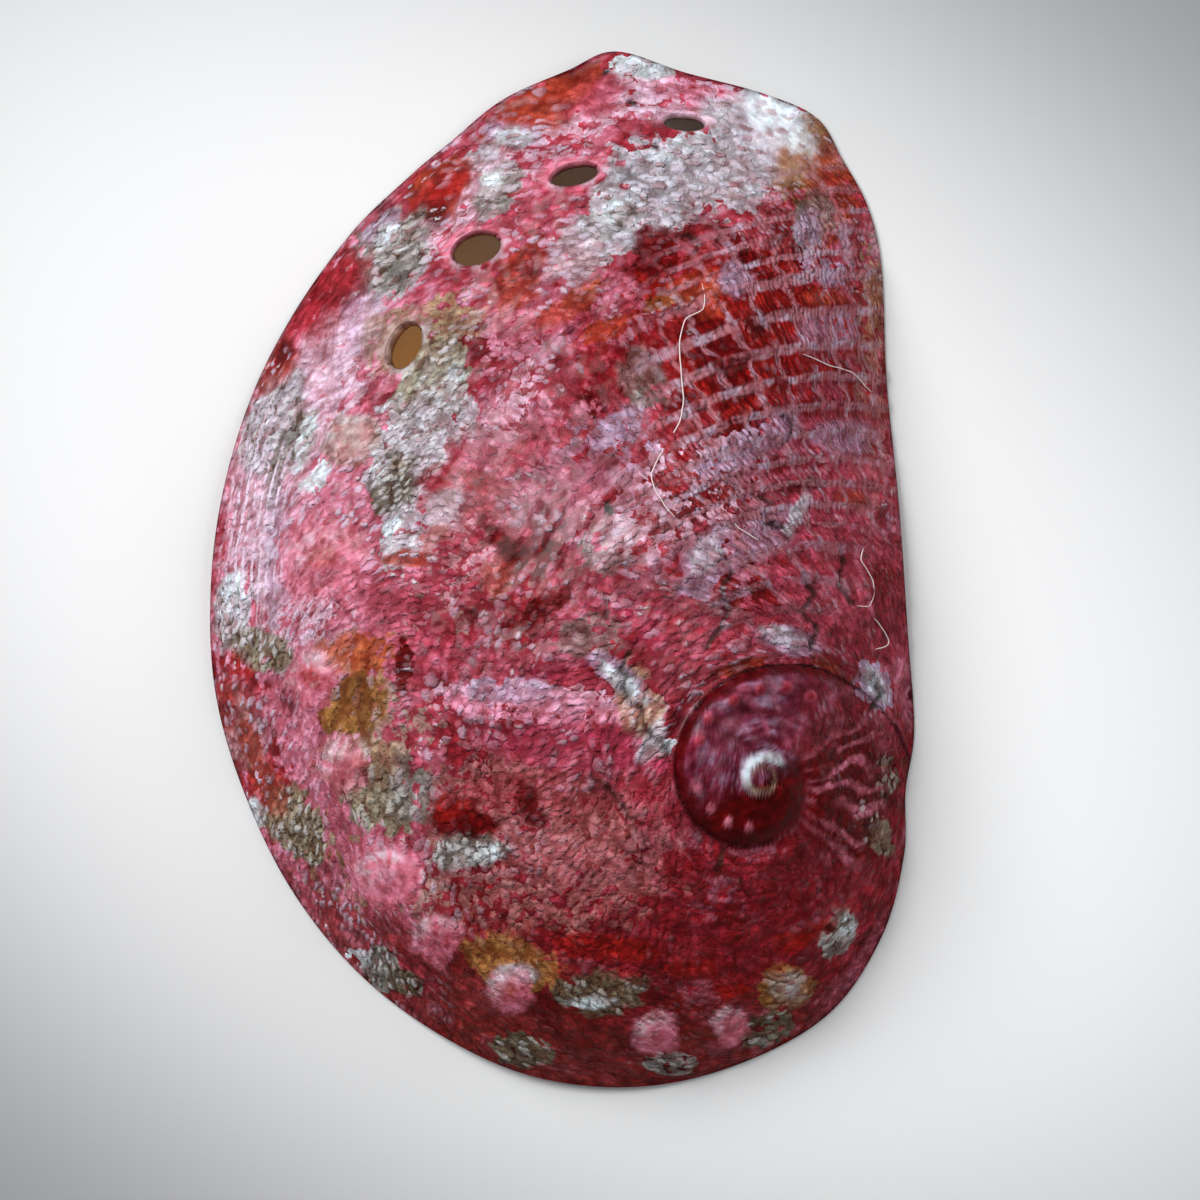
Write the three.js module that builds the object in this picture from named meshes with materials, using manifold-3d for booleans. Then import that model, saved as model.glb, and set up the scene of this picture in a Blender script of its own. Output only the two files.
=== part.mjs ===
// The shell of a small abalone (ear shell), lying mouth down, as one solid.
// Millimetres. +Z is up through the back of the shell, +Y points to the front lip and +X to the
// straight columellar side. The origin is at the middle of the shell's box, on the ground.
// Angles round the apex ("turns") are in degrees, clockwise seen from above, from +X. They count on
// past 360 as the shell grows: the spire is below 360 and the newest hole is at 624.
import * as THREE from "three";
import { mergeVertices } from "three/addons/utils/BufferGeometryUtils.js";
import Module from "manifold-3d";

const WIDTH = 20.4;
const LENGTH = 30.0;
const CROWN = 7.8; // height of the plain dome over its crown
const WALL = 0.8; // wall at the crown
const OUTER_CELLS = 50; // grid cells along each side of the upper surface
const INNER_CELLS = OUTER_CELLS / 2;

// The sides' profile mixes a ball's cap, cut a little above its widest, with a parabola.
const CUT = 0.15;
const FULLNESS = 0.6;
const FRONT = { at: 78, spread: 50, straightness: 0.25 };

const CROWN_AT = { x: 1.7, y: -1.5 };
const APEX = { x: 5.64, y: -6.08 };

// The margin seen from above, anticlockwise from the notch where the last whorl meets the spire's.
const MARGIN = [
  [10.3, -4.7], [10.1, -1.8], [9.85, 1.8], [9.5, 5.4], [9.35, 8.7], [8.95, 10.5], [8.2, 11.9],
  [7.45, 13.1], [5.9, 13.8], [3.6, 14.4], [1.6, 15.0], [0.2, 14.45], [-1.7, 13.6], [-3.2, 12.4],
  [-4.4, 11.4], [-6.1, 9.75], [-7.85, 7.3], [-9.1, 4.75], [-9.9, 1.9], [-10.2, -0.9], [-10.05, -3.7],
  [-9.25, -6.5], [-7.9, -9.3], [-6.0, -11.7], [-3.6, -13.55], [-0.8, -14.8], [2.3, -15.1],
  [5.2, -14.45], [7.8, -13.0], [9.35, -10.75], [10.0, -8.4], [10.05, -6.5],
];
const MARGIN_STEPS = 720;

// The row of holes: [turn, distance from the apex].
const ROW = [
  [106, 1.27], [200, 2.0], [300, 2.9], [389, 4.05], [441, 6.05],
  [500, 9.3], [553, 13.1], [591, 16.1], [624, 19.1],
];
const OPEN_HOLES = [591, 602, 613, 624];
const CLOSED_HOLES = [389, 407, 441, 456, 472, 500, 514, 526, 542, 553, 567, 580];
const HOLE = { along: 0.64, across: 0.54, flare: 1.3, depth: 6, sides: 16 }; // half-widths at the foot
const COLLAR = { height: 0.35, radius: 1.2 };
const KNOB = { height: 0.45, radius: 0.72 };
const KEEL = { height: 0.35, width: 1.0, begins: 390, fade: 60 };

// The groove between the spire and the last whorl, another spiral round the apex.
const SUTURE = { radius: 1.25, growth: 0.0036, ends: 352, fade: 20, depth: 0.28, width: 0.6 };
const SPIRE = { height: 0.35, radius: 2.6, step: 0.3, bank: 0.9 };

// The mouth's rim: a narrow flat edge, lifted off the ground between the places where it rests.
const RIM_WIDTH = 0.5;
const LIFTS = [
  { at: 93, spread: 18, height: 0.6 },
  { at: 12, spread: 22, height: 0.5 },
  { at: 172, spread: 26, height: 0.5 },
  { at: 262, spread: 18, height: 0.4 },
];
const LIFT_DEADBAND = 0.1;
// The columellar shelf: a ledge inside the mouth along the straight side.
const SHELF = { from: -45, to: 55, fade: 30, width: 1.6, rise: 0.9 };
const INNER_STEP = 0.25; // how far the lower surface starts inside the rim, away from the shelf
const INNER_SWELLING = 0.7; // the share of the outer swelling that shows inside

const radians = (degrees) => (degrees * Math.PI) / 180;
const wrap = (degrees) => ((((degrees + 180) % 360) + 360) % 360) - 180;
const bump = (distance, width) => Math.exp(-((distance / width) ** 2));
const smooth = (t) => {
  const c = Math.min(1, Math.max(0, t));
  return c * c * (3 - 2 * c);
};

// The margin as radii round the crown, so that any direction has one edge.
function marginRadii() {
  const curve = new THREE.CatmullRomCurve3(
    MARGIN.map(([x, y]) => new THREE.Vector3(x, y, 0)),
    true,
    "catmullrom",
    0.5,
  );
  const points = Array.from({ length: MARGIN_STEPS }, (_, i) => curve.getPoint(i / MARGIN_STEPS));
  const box = new THREE.Box3().setFromPoints(points);
  const middle = box.getCenter(new THREE.Vector3());
  const size = box.getSize(new THREE.Vector3());
  return points
    .map((p) => {
      const x = ((p.x - middle.x) * WIDTH) / size.x - CROWN_AT.x;
      const y = ((p.y - middle.y) * LENGTH) / size.y - CROWN_AT.y;
      return [(Math.atan2(y, x) * 180) / Math.PI, Math.hypot(x, y)];
    })
    .sort((a, b) => a[0] - b[0]);
}

const radii = marginRadii();

// Linear interpolation in a list of [position, value], sorted by position.
function along(list, at) {
  let i = list.findIndex(([position]) => position > at);
  if (i < 0) i = list.length - 1;
  i = Math.max(1, i);
  const [[a, va], [b, vb]] = [list[i - 1], list[i]];
  return va + ((vb - va) * (at - a)) / (b - a);
}

const edgeRadius = (degrees) => along(radii, wrap(degrees));
const logRow = ROW.map(([turn, radius]) => [turn, Math.log(radius)]);
const rowRadius = (turn) => Math.exp(along(logRow, turn));
const sutureRadius = (turn) => SUTURE.radius * Math.exp(SUTURE.growth * turn);

// A point of the row of holes, seen from above.
function rowPoint(turn) {
  const r = rowRadius(turn);
  return { x: APEX.x + r * Math.cos(radians(turn)), y: APEX.y - r * Math.sin(radians(turn)) };
}

const openAt = OPEN_HOLES.map(rowPoint);
const closedAt = CLOSED_HOLES.map(rowPoint);

function rimLift(degrees) {
  const total = LIFTS.reduce((sum, l) => sum + l.height * bump(wrap(degrees - l.at), l.spread), 0);
  return Math.max(0, total - LIFT_DEADBAND);
}

// 1 on the columellar side, 0 elsewhere.
function shelfShare(degrees) {
  const a = wrap(degrees);
  return smooth((a - SHELF.from) / SHELF.fade) * smooth((SHELF.to - a) / SHELF.fade);
}

// The dome's height from 1 at the crown to 0 at the margin: full-bodied and steep at the sides and
// the back, a gentle slope towards the front lip.
function dome(share, degrees) {
  const fall = 1 - share * share;
  const cap = (Math.sqrt(fall + CUT) - Math.sqrt(CUT)) / (Math.sqrt(1 + CUT) - Math.sqrt(CUT));
  const side = FULLNESS * cap + (1 - FULLNESS) * fall;
  const front = fall * (1 - FRONT.straightness * share * share);
  return side + (front - side) * bump(wrap(degrees - FRONT.at), FRONT.spread);
}

// A place as seen from the apex: its turn in the spire's first whorl and its distance.
function roundApex(x, y) {
  const dx = x - APEX.x;
  const dy = APEX.y - y;
  return { turn: ((Math.atan2(dy, dx) * 180) / Math.PI + 360) % 360, r: Math.hypot(dx, dy) };
}

// What swells out of the dome, inside and out: the spire, and the keel with its knobs and collars.
function swelling(x, y) {
  const { turn, r } = roundApex(x, y);
  const grown = turn + 360;
  let z = SPIRE.height * bump(r, SPIRE.radius);
  z += KEEL.height * smooth((grown - KEEL.begins) / KEEL.fade) * bump(r - rowRadius(grown), KEEL.width);
  for (const c of closedAt) z += KNOB.height * bump(Math.hypot(x - c.x, y - c.y), KNOB.radius);
  for (const c of openAt) z += COLLAR.height * bump(Math.hypot(x - c.x, y - c.y), COLLAR.radius);
  return z;
}

// The spire's step up from the last whorl, with the groove at its foot.
function sutureStep(x, y) {
  const { turn, r } = roundApex(x, y);
  const outside = r - sutureRadius(turn);
  const step = SPIRE.step * smooth(0.5 - outside / SPIRE.bank) - SUTURE.depth * bump(outside, SUTURE.width);
  return step * smooth((SUTURE.ends - turn) / SUTURE.fade);
}

function outerPoint(share, degrees) {
  const r = share * edgeRadius(degrees);
  const x = CROWN_AT.x + r * Math.cos(radians(degrees));
  const y = CROWN_AT.y + r * Math.sin(radians(degrees));
  const relief = (swelling(x, y) + sutureStep(x, y)) * (1 - share ** 10);
  const z = rimLift(degrees) * share ** 4 + CROWN * dome(share, degrees) + relief;
  return new THREE.Vector3(x, y, z);
}

// A point of the rim's flat edge, inset from the margin.
function rimPoint(degrees) {
  const r = edgeRadius(degrees) - RIM_WIDTH;
  return new THREE.Vector3(
    CROWN_AT.x + r * Math.cos(radians(degrees)),
    CROWN_AT.y + r * Math.sin(radians(degrees)),
    rimLift(degrees),
  );
}

function innerPoint(share, degrees) {
  const shelf = shelfShare(degrees);
  const r = share * (edgeRadius(degrees) - RIM_WIDTH - INNER_STEP - SHELF.width * shelf);
  const x = CROWN_AT.x + r * Math.cos(radians(degrees));
  const y = CROWN_AT.y + r * Math.sin(radians(degrees));
  const foot = rimLift(degrees) + INNER_STEP + SHELF.rise * shelf;
  const rise = CROWN - WALL - foot;
  const z = foot + rise * dome(share, degrees) + INNER_SWELLING * swelling(x, y) * (1 - share ** 4);
  return new THREE.Vector3(x, y, z);
}

// A place of a square grid spread over the disc: every cell keeps about the same size.
function discPlace(i, j, cells) {
  const a = (2 * i) / cells - 1;
  const b = (2 * j) / cells - 1;
  if (a === 0 && b === 0) return [0, 0];
  const tilt = Math.abs(a) > Math.abs(b) ? 45 * (b / a) : 90 - 45 * (a / b);
  const turned = Math.abs(a) > Math.abs(b) ? (a < 0 ? 180 : 0) : b < 0 ? 180 : 0;
  return [Math.max(Math.abs(a), Math.abs(b)), tilt + turned];
}

// The corners of a square grid's edge, anticlockwise, as indices.
function edgeLoop(cells) {
  const at = (i, j) => j * (cells + 1) + i;
  const steps = Array.from({ length: cells }, (_, k) => k);
  return [
    ...steps.map((k) => at(k, 0)),
    ...steps.map((k) => at(cells, k)),
    ...steps.map((k) => at(cells - k, cells)),
    ...steps.map((k) => at(0, cells - k)),
  ];
}

// The whole shell without its open holes: upper surface, flat rim, lower surface.
function closedShell() {
  const points = [];
  const triangles = [];
  const quad = (a, b, c, d) => triangles.push(a, b, c, a, c, d);

  // One surface of the shell, faced up or down; returns the indices of its edge.
  const sheet = (cells, pointAt, faceUp) => {
    const first = points.length;
    for (let j = 0; j <= cells; j++) {
      for (let i = 0; i <= cells; i++) points.push(pointAt(...discPlace(i, j, cells)));
    }
    for (let j = 0; j < cells; j++) {
      for (let i = 0; i < cells; i++) {
        const a = first + j * (cells + 1) + i;
        const d = a + cells + 1;
        if (faceUp) quad(a, a + 1, d + 1, d);
        else quad(a, d, d + 1, a + 1);
      }
    }
    return edgeLoop(cells).map((k) => first + k);
  };

  const outer = sheet(OUTER_CELLS, outerPoint, true);
  const inner = sheet(INNER_CELLS, innerPoint, false);
  const rim = outer.map((_, n) => points.length + n);
  const middle = new THREE.Vector3(CROWN_AT.x, CROWN_AT.y, 0);
  outer.forEach((k) => {
    const out = points[k].clone().sub(middle);
    points.push(rimPoint((Math.atan2(out.y, out.x) * 180) / Math.PI));
  });
  const next = (loop, n) => loop[(n + 1) % loop.length];
  outer.forEach((k, n) => quad(k, rim[n], next(rim, n), next(outer, n)));
  inner.forEach((k, n) => {
    const half = rim[2 * n + 1];
    triangles.push(rim[2 * n], k, half);
    triangles.push(half, k, next(inner, n));
    triangles.push(half, next(inner, n), next(rim, 2 * n + 1));
  });
  return { points, triangles };
}

// An oval bore, wider outside than inside, to cut one hole at right angles to the surface.
function holeCutter(turn) {
  const bore = new THREE.CylinderGeometry(HOLE.flare, 1, HOLE.depth, HOLE.sides).toNonIndexed();
  const [here, ahead] = [rowPoint(turn), rowPoint(turn + 1)];
  const heading = new THREE.Vector3(ahead.x - here.x, ahead.y - here.y, 0).normalize();
  const height = (x, y) => {
    const degrees = (Math.atan2(y - CROWN_AT.y, x - CROWN_AT.x) * 180) / Math.PI;
    const share = Math.hypot(x - CROWN_AT.x, y - CROWN_AT.y) / edgeRadius(degrees);
    return CROWN * dome(Math.min(share, 1), degrees);
  };
  const step = 0.3;
  const slopeX = (height(here.x + step, here.y) - height(here.x - step, here.y)) / (2 * step);
  const slopeY = (height(here.x, here.y + step) - height(here.x, here.y - step)) / (2 * step);
  const normal = new THREE.Vector3(-slopeX, -slopeY, 1).normalize();
  const across = new THREE.Vector3().crossVectors(normal, heading).normalize();
  const forward = new THREE.Vector3().crossVectors(across, normal);
  const place = new THREE.Matrix4().makeBasis(across, normal, forward);
  place.setPosition(here.x, here.y, height(here.x, here.y));
  bore.scale(HOLE.across, 1, HOLE.along).applyMatrix4(place);
  return bore;
}

const wasm = await Module();
wasm.setup();

function solidOf(geometry) {
  geometry.deleteAttribute("normal");
  geometry.deleteAttribute("uv");
  const merged = mergeVertices(geometry, 1e-4);
  return new wasm.Manifold(
    new wasm.Mesh({
      numProp: 3,
      vertProperties: merged.attributes.position.array,
      triVerts: new Uint32Array(merged.index.array),
    }),
  );
}

function geometryOf(solid) {
  const mesh = solid.getMesh();
  const geometry = new THREE.BufferGeometry();
  geometry.setAttribute("position", new THREE.BufferAttribute(mesh.vertProperties, 3));
  geometry.setIndex(new THREE.BufferAttribute(mesh.triVerts, 1));
  return geometry.toNonIndexed();
}

function shellGeometry() {
  const { points, triangles } = closedShell();
  const body = new THREE.BufferGeometry().setFromPoints(points).setIndex(triangles);
  const cut = OPEN_HOLES.reduce((solid, turn) => solid.subtract(solidOf(holeCutter(turn))), solidOf(body));
  const geometry = geometryOf(cut);
  geometry.computeVertexNormals();
  return geometry;
}

const shell = new THREE.Mesh(
  shellGeometry(),
  new THREE.MeshStandardMaterial({ color: 0xb4505c, roughness: 0.45, metalness: 0 }),
);
shell.name = "shell";

const abalone = new THREE.Group();
abalone.add(shell);
export default abalone;
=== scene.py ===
"""A young abalone's shell, lying mouth down on a pale floor and seen from straight above.

Lengths are in millimetres until a mesh is made. Turns are degrees round the spire's tip, clockwise
seen from above, and count on past 360 as the shell grows. Three coordinates follow the growth:
  turn    how far round the spire a place lies, on the whorl it belongs to
  spiral  log distance from the row of holes: constant along each spiral cord
  grown   turn less the lip's own turn at that spiral: constant along each growth line
"""

import math

import bpy
import numpy as np
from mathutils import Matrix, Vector


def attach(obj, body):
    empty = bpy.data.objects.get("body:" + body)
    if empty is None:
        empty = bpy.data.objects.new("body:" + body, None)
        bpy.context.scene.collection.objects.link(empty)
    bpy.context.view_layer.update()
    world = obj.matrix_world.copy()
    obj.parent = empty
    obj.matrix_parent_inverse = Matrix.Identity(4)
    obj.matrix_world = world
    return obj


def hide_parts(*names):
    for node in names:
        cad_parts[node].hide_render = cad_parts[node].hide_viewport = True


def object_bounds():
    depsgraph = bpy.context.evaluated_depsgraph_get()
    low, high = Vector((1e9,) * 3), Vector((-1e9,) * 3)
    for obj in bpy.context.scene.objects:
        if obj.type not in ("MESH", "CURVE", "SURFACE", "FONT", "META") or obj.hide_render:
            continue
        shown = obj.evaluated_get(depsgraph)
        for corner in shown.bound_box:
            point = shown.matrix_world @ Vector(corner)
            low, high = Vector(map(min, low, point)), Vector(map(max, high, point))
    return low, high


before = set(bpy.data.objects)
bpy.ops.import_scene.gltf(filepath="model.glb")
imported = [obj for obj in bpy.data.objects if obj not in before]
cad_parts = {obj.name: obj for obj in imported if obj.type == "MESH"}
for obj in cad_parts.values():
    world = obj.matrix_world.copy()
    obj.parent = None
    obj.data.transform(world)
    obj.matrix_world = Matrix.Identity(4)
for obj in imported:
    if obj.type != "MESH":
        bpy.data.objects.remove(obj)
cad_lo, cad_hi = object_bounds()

MM = 0.001
OUTER_CELLS = 272
INNER_CELLS = OUTER_CELLS // 2

# ---- the shell's form: the CAD's, with a softer groove round the spire

WIDTH = (cad_hi[0] - cad_lo[0]) / MM
LENGTH = (cad_hi[1] - cad_lo[1]) / MM
CROWN = 7.8
WALL = 0.8
CUT = 0.15
FULLNESS = 0.6
FRONT_AT, FRONT_SPREAD, FRONT_STRAIGHT = 78, 50, 0.25
CROWN_X, CROWN_Y = 1.7, -1.5
APEX_X, APEX_Y = 5.64, -6.08

MARGIN = [
    (10.3, -4.7), (10.1, -1.8), (9.85, 1.8), (9.5, 5.4), (9.35, 8.7), (8.95, 10.5), (8.2, 11.9),
    (7.45, 13.1), (5.9, 13.8), (3.6, 14.4), (1.6, 15.0), (0.2, 14.45), (-1.7, 13.6), (-3.2, 12.4),
    (-4.4, 11.4), (-6.1, 9.75), (-7.85, 7.3), (-9.1, 4.75), (-9.9, 1.9), (-10.2, -0.9),
    (-10.05, -3.7), (-9.25, -6.5), (-7.9, -9.3), (-6.0, -11.7), (-3.6, -13.55), (-0.8, -14.8),
    (2.3, -15.1), (5.2, -14.45), (7.8, -13.0), (9.35, -10.75), (10.0, -8.4), (10.05, -6.5),
]

# The row of knobs and holes: (turn, distance from the apex).
SPIRE_KNOBS = [
    (106, 1.27), (131, 1.42), (154, 1.58), (177, 1.8), (216, 2.15), (231, 2.4), (252, 2.5),
    (270, 2.67), (285, 2.81), (300, 2.87),
]
KNOBS = [
    (348, 3.4), (389, 4.05), (407, 4.65), (441, 6.05), (456, 7.1), (472, 7.85), (500, 9.33),
    (514, 10.25), (526, 10.95), (542, 11.95), (553, 13.1), (567, 14.1), (580, 15.2),
]
HOLES = [(591, 16.15), (602, 17.35), (613, 18.2), (624, 19.07)]

SUTURE, SUTURE_GROWTH, SUTURE_ENDS, SUTURE_FADE = 1.25, 0.0036, 342, 34
SUTURE_STEP, SUTURE_BANK, GROOVE_DEPTH, GROOVE_WIDTH = 0.3, 0.6, 0.22, 0.28
SPIRE_HEIGHT, SPIRE_RADIUS = 0.35, 2.6
KEEL_HEIGHT, KEEL_WIDTH, KEEL_BEGINS, KEEL_FADE = 0.35, 1.0, 390, 60
COLLAR_HEIGHT, COLLAR_RADIUS = 0.35, 1.2
# Shares of a knob's own radius.
KNOB_HEIGHT, SPIRE_KNOB_HEIGHT, DIMPLE_DEPTH, DIMPLE_WIDTH = 0.62, 0.75, 0.14, 0.33
RIM_WIDTH = 0.5
LIFTS = [(93, 18, 0.6), (12, 22, 0.5), (172, 26, 0.5), (262, 18, 0.4)]
LIFT_DEADBAND = 0.1
SHELF_FROM, SHELF_TO, SHELF_FADE, SHELF_WIDTH, SHELF_RISE = -45, 55, 30, 1.6, 0.9
INNER_STEP = 0.25
INNER_SWELLING = 0.7


def smooth(t):
    t = np.clip(t, 0.0, 1.0)
    return t * t * (3 - 2 * t)


def bump(distance, width):
    return np.exp(-((distance / width) ** 2))


def wrap(degrees):
    return (degrees + 180) % 360 - 180


def spline(p0, p1, p2, p3, w):
    """Points of a Catmull-Rom curve, the share w of the way from p1 to p2."""
    return p1 + 0.5 * w * (p2 - p0 + w * (2 * p0 - 5 * p1 + 4 * p2 - p3 + w * (3 * (p1 - p2) + p3 - p0)))


def margin_radii():
    """The margin's directions and radii round the crown, from a closed Catmull-Rom curve."""
    points = np.array(MARGIN)
    t = np.arange(0, len(points), 1 / 24)
    i = t.astype(int)
    w = (t - i)[:, None]
    curve = spline(*(points[(i + k) % len(points)] for k in (-1, 0, 1, 2)), w)
    low, high = curve.min(0), curve.max(0)
    curve = (curve - (low + high) / 2) * np.array([WIDTH, LENGTH]) / (high - low)
    out = curve - (CROWN_X, CROWN_Y)
    degrees = np.degrees(np.arctan2(out[:, 1], out[:, 0]))
    order = np.argsort(degrees)
    return degrees[order], np.hypot(out[:, 0], out[:, 1])[order]


MARGIN_DEGREES, MARGIN_RADII = margin_radii()


def edge_radius(degrees):
    return np.interp(wrap(degrees), MARGIN_DEGREES, MARGIN_RADII, period=360)


def extended(pairs, first, last):
    """A table of pairs carried on in straight lines to first and last, then smoothed."""
    at, value = np.array(pairs, float).T
    slopes = (value[1] - value[0]) / (at[1] - at[0]), (value[-1] - value[-2]) / (at[-1] - at[-2])
    step = (last - first) / 1200
    wide = np.arange(first, last, step)
    level = np.interp(wide, at, value)
    level += np.minimum(wide - at[0], 0) * slopes[0] + np.maximum(wide - at[-1], 0) * slopes[1]
    window = np.hanning(31)
    padded = np.pad(level, 15, mode="reflect", reflect_type="odd")
    return wide, np.convolve(padded, window / window.sum(), mode="valid")


ROW_TURNS, ROW_LOGS = extended([(t, math.log(r)) for t, r in SPIRE_KNOBS + KNOBS + HOLES], -500, 800)
# The lip's own turn at each spiral: from the suture on the right, round the front, to the left side.
LIP_SPIRALS, LIP_TURNS = extended(
    [(-2.2, 725), (-1.91, 710), (-1.63, 690), (-1.0, 660), (-0.66, 650), (-0.19, 640), (0.0, 630),
     (0.1, 622), (0.25, 614)], -4, 1.5)


def suture_radius(turn):
    return SUTURE * np.exp(SUTURE_GROWTH * turn)


def round_apex(x, y):
    """Distance and turn from the apex, the turn within the first whorl."""
    dx, dy = x - APEX_X, APEX_Y - y
    return np.hypot(dx, dy), np.degrees(np.arctan2(dy, dx)) % 360


def row_log(turn):
    return np.interp(turn, ROW_TURNS, ROW_LOGS)


def growth(x, y):
    """turn, spiral and grown of a place seen from above."""
    r, a = round_apex(x, y)
    turn = a + 360.0 * (r > suture_radius(a)) - 360.0 * (r <= suture_radius(a - 360))
    spiral = np.log(np.maximum(r, 0.04)) - row_log(turn)
    return turn, spiral, turn - np.interp(spiral, LIP_SPIRALS, LIP_TURNS)


def row_place(turn, radius):
    return (APEX_X + radius * math.cos(math.radians(turn)), APEX_Y - radius * math.sin(math.radians(turn)))


def from_row(x, y, turn, radius):
    """Distance from a place on the row of knobs and holes."""
    kx, ky = row_place(turn, radius)
    return np.hypot(x - kx, y - ky)


def rim_lift(degrees):
    total = sum(height * bump(wrap(degrees - at), spread) for at, spread, height in LIFTS)
    return np.maximum(0, total - LIFT_DEADBAND)


def shelf_share(degrees):
    a = wrap(degrees)
    return smooth((a - SHELF_FROM) / SHELF_FADE) * smooth((SHELF_TO - a) / SHELF_FADE)


def dome(share, degrees):
    fall = 1 - share * share
    cap = (np.sqrt(np.maximum(fall + CUT, 0)) - math.sqrt(CUT)) / (math.sqrt(1 + CUT) - math.sqrt(CUT))
    side = FULLNESS * cap + (1 - FULLNESS) * fall
    front = fall * (1 - FRONT_STRAIGHT * share * share)
    return side + (front - side) * bump(wrap(degrees - FRONT_AT), FRONT_SPREAD)


def knob_size(turn):
    """A knob's radius grows with the shell."""
    return np.interp(turn, [106, 300, 441, 526, 624], [0.15, 0.24, 0.45, 0.66, 0.74])


def swelling(x, y):
    """The spire, the keel, its knobs and the collars round the holes."""
    r, a = round_apex(x, y)
    grown = a + 360
    z = SPIRE_HEIGHT * bump(r, SPIRE_RADIUS)
    keel = KEEL_HEIGHT * smooth((grown - KEEL_BEGINS) / KEEL_FADE)
    z = z + keel * bump(r - np.exp(row_log(grown)), KEEL_WIDTH)
    for turn, radius in KNOBS:
        size, d = knob_size(turn), from_row(x, y, turn, radius)
        z = z + KNOB_HEIGHT * size * bump(d, size) - DIMPLE_DEPTH * size * bump(d, DIMPLE_WIDTH * size)
    for turn, radius in HOLES:
        z = z + COLLAR_HEIGHT * bump(from_row(x, y, turn, radius), COLLAR_RADIUS)
    return z


def spire_detail(x, y):
    """The step at the suture, the small early knobs and the tip's own coils."""
    r, a = round_apex(x, y)
    outside = r - suture_radius(a)
    fade = smooth((SUTURE_ENDS - a) / SUTURE_FADE)
    groove = GROOVE_DEPTH * bump(outside - 0.04, GROOVE_WIDTH)
    z = fade * (SUTURE_STEP * smooth(0.5 - outside / SUTURE_BANK) - groove)
    inner = r - suture_radius(a - 360)
    z = z - 0.1 * bump(inner, 0.1) * smooth((a - 40) / 60) + 0.14 * bump(r, 0.55)
    for turn, radius in SPIRE_KNOBS:
        size = knob_size(turn)
        z = z + SPIRE_KNOB_HEIGHT * size * bump(from_row(x, y, turn, radius), size)
    return z


def polar(x, y):
    dx, dy = x - CROWN_X, y - CROWN_Y
    return np.hypot(dx, dy), np.degrees(np.arctan2(dy, dx))


def outer_height(x, y):
    r, degrees = polar(x, y)
    share = r / edge_radius(degrees)
    relief = (swelling(x, y) + spire_detail(x, y)) * (1 - np.minimum(share, 1) ** 10)
    return rim_lift(degrees) * share**4 + CROWN * dome(share, degrees) + relief


def inner_reach(degrees):
    return edge_radius(degrees) - RIM_WIDTH - INNER_STEP - SHELF_WIDTH * shelf_share(degrees)


def inner_height(x, y):
    r, degrees = polar(x, y)
    share = r / inner_reach(degrees)
    foot = rim_lift(degrees) + INNER_STEP + SHELF_RISE * shelf_share(degrees)
    rise = CROWN - WALL - foot
    relief = INNER_SWELLING * swelling(x, y) * (1 - np.minimum(share, 1) ** 4)
    return foot + rise * dome(share, degrees) + relief


# ---- seeded noise


def hashed(ix, iy, seed):
    """A steady random number from 0 to 1 for each pair of whole numbers."""
    h = (ix.astype(np.int64) * 374761393 + iy.astype(np.int64) * 668265263 + seed * 974634777) & 0xFFFFFFFF
    h = ((h ^ (h >> 13)) * 1274126177) & 0xFFFFFFFF
    h = ((h ^ (h >> 16)) * 1103515245) & 0xFFFFFFFF
    return (h ^ (h >> 15)) / 4294967296.0


def noise(x, y, seed):
    """Gradient noise, about -1 to 1."""
    ix, iy = np.floor(x), np.floor(y)
    fx, fy = x - ix, y - iy
    u, v = (f * f * f * (f * (6 * f - 15) + 10) for f in (fx, fy))
    corner = {}
    for i in (0, 1):
        for j in (0, 1):
            angle = 2 * math.pi * hashed(ix + i, iy + j, seed)
            corner[i, j] = np.cos(angle) * (fx - i) + np.sin(angle) * (fy - j)
    low = corner[0, 0] + u * (corner[1, 0] - corner[0, 0])
    high = corner[0, 1] + u * (corner[1, 1] - corner[0, 1])
    return 1.5 * (low + v * (high - low))


def fractal(x, y, seed, octaves=3):
    total, size = 0, 1.0
    for k in range(octaves):
        total = total + size * noise(x * 2**k, y * 2**k, seed + k)
        size *= 0.55
    return total / (1.8 if octaves > 1 else 1)


# ---- the grid


def disc_grid(cells):
    """A square grid spread over the disc, as directions and shares of the radius."""
    line = np.linspace(-1, 1, cells + 1)
    a, b = np.meshgrid(line, line)
    flat = np.abs(a) > np.abs(b)
    tilt = np.where(flat, 45 * b / np.where(flat, a, 1), 90 - 45 * a / np.where(b == 0, 1, b))
    turned = np.where(flat, np.where(a < 0, 180, 0), np.where(b < 0, 180, 0))
    return np.maximum(np.abs(a), np.abs(b)).ravel(), (tilt + turned).ravel()


def grid_quads(cells):
    j, i = np.mgrid[0:cells, 0:cells]
    a = (j * (cells + 1) + i).ravel()
    return np.stack([a, a + 1, a + cells + 2, a + cells + 1], axis=1)


def grid_loop(cells):
    """The grid's edge, anticlockwise."""
    k = np.arange(cells)
    side = cells + 1
    return np.concatenate([k, k * side + cells, cells * side + cells - k, (cells - k) * side])


def placed(cells, reach):
    share, degrees = disc_grid(cells)
    r = share * reach(degrees)
    return CROWN_X + r * np.cos(np.radians(degrees)), CROWN_Y + r * np.sin(np.radians(degrees))


def oval_radius(x, y, oval):
    """Distance from an oval's centre, as a share of its own radius, and the direction there."""
    cx, cy, tilt, half_length, half_width = oval
    c, s = math.cos(math.radians(tilt)), math.sin(math.radians(tilt))
    u = ((x - cx) * c + (y - cy) * s) / half_length
    v = ((y - cy) * c - (x - cx) * s) / half_width
    return np.hypot(u, v), np.arctan2(v, u)


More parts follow.
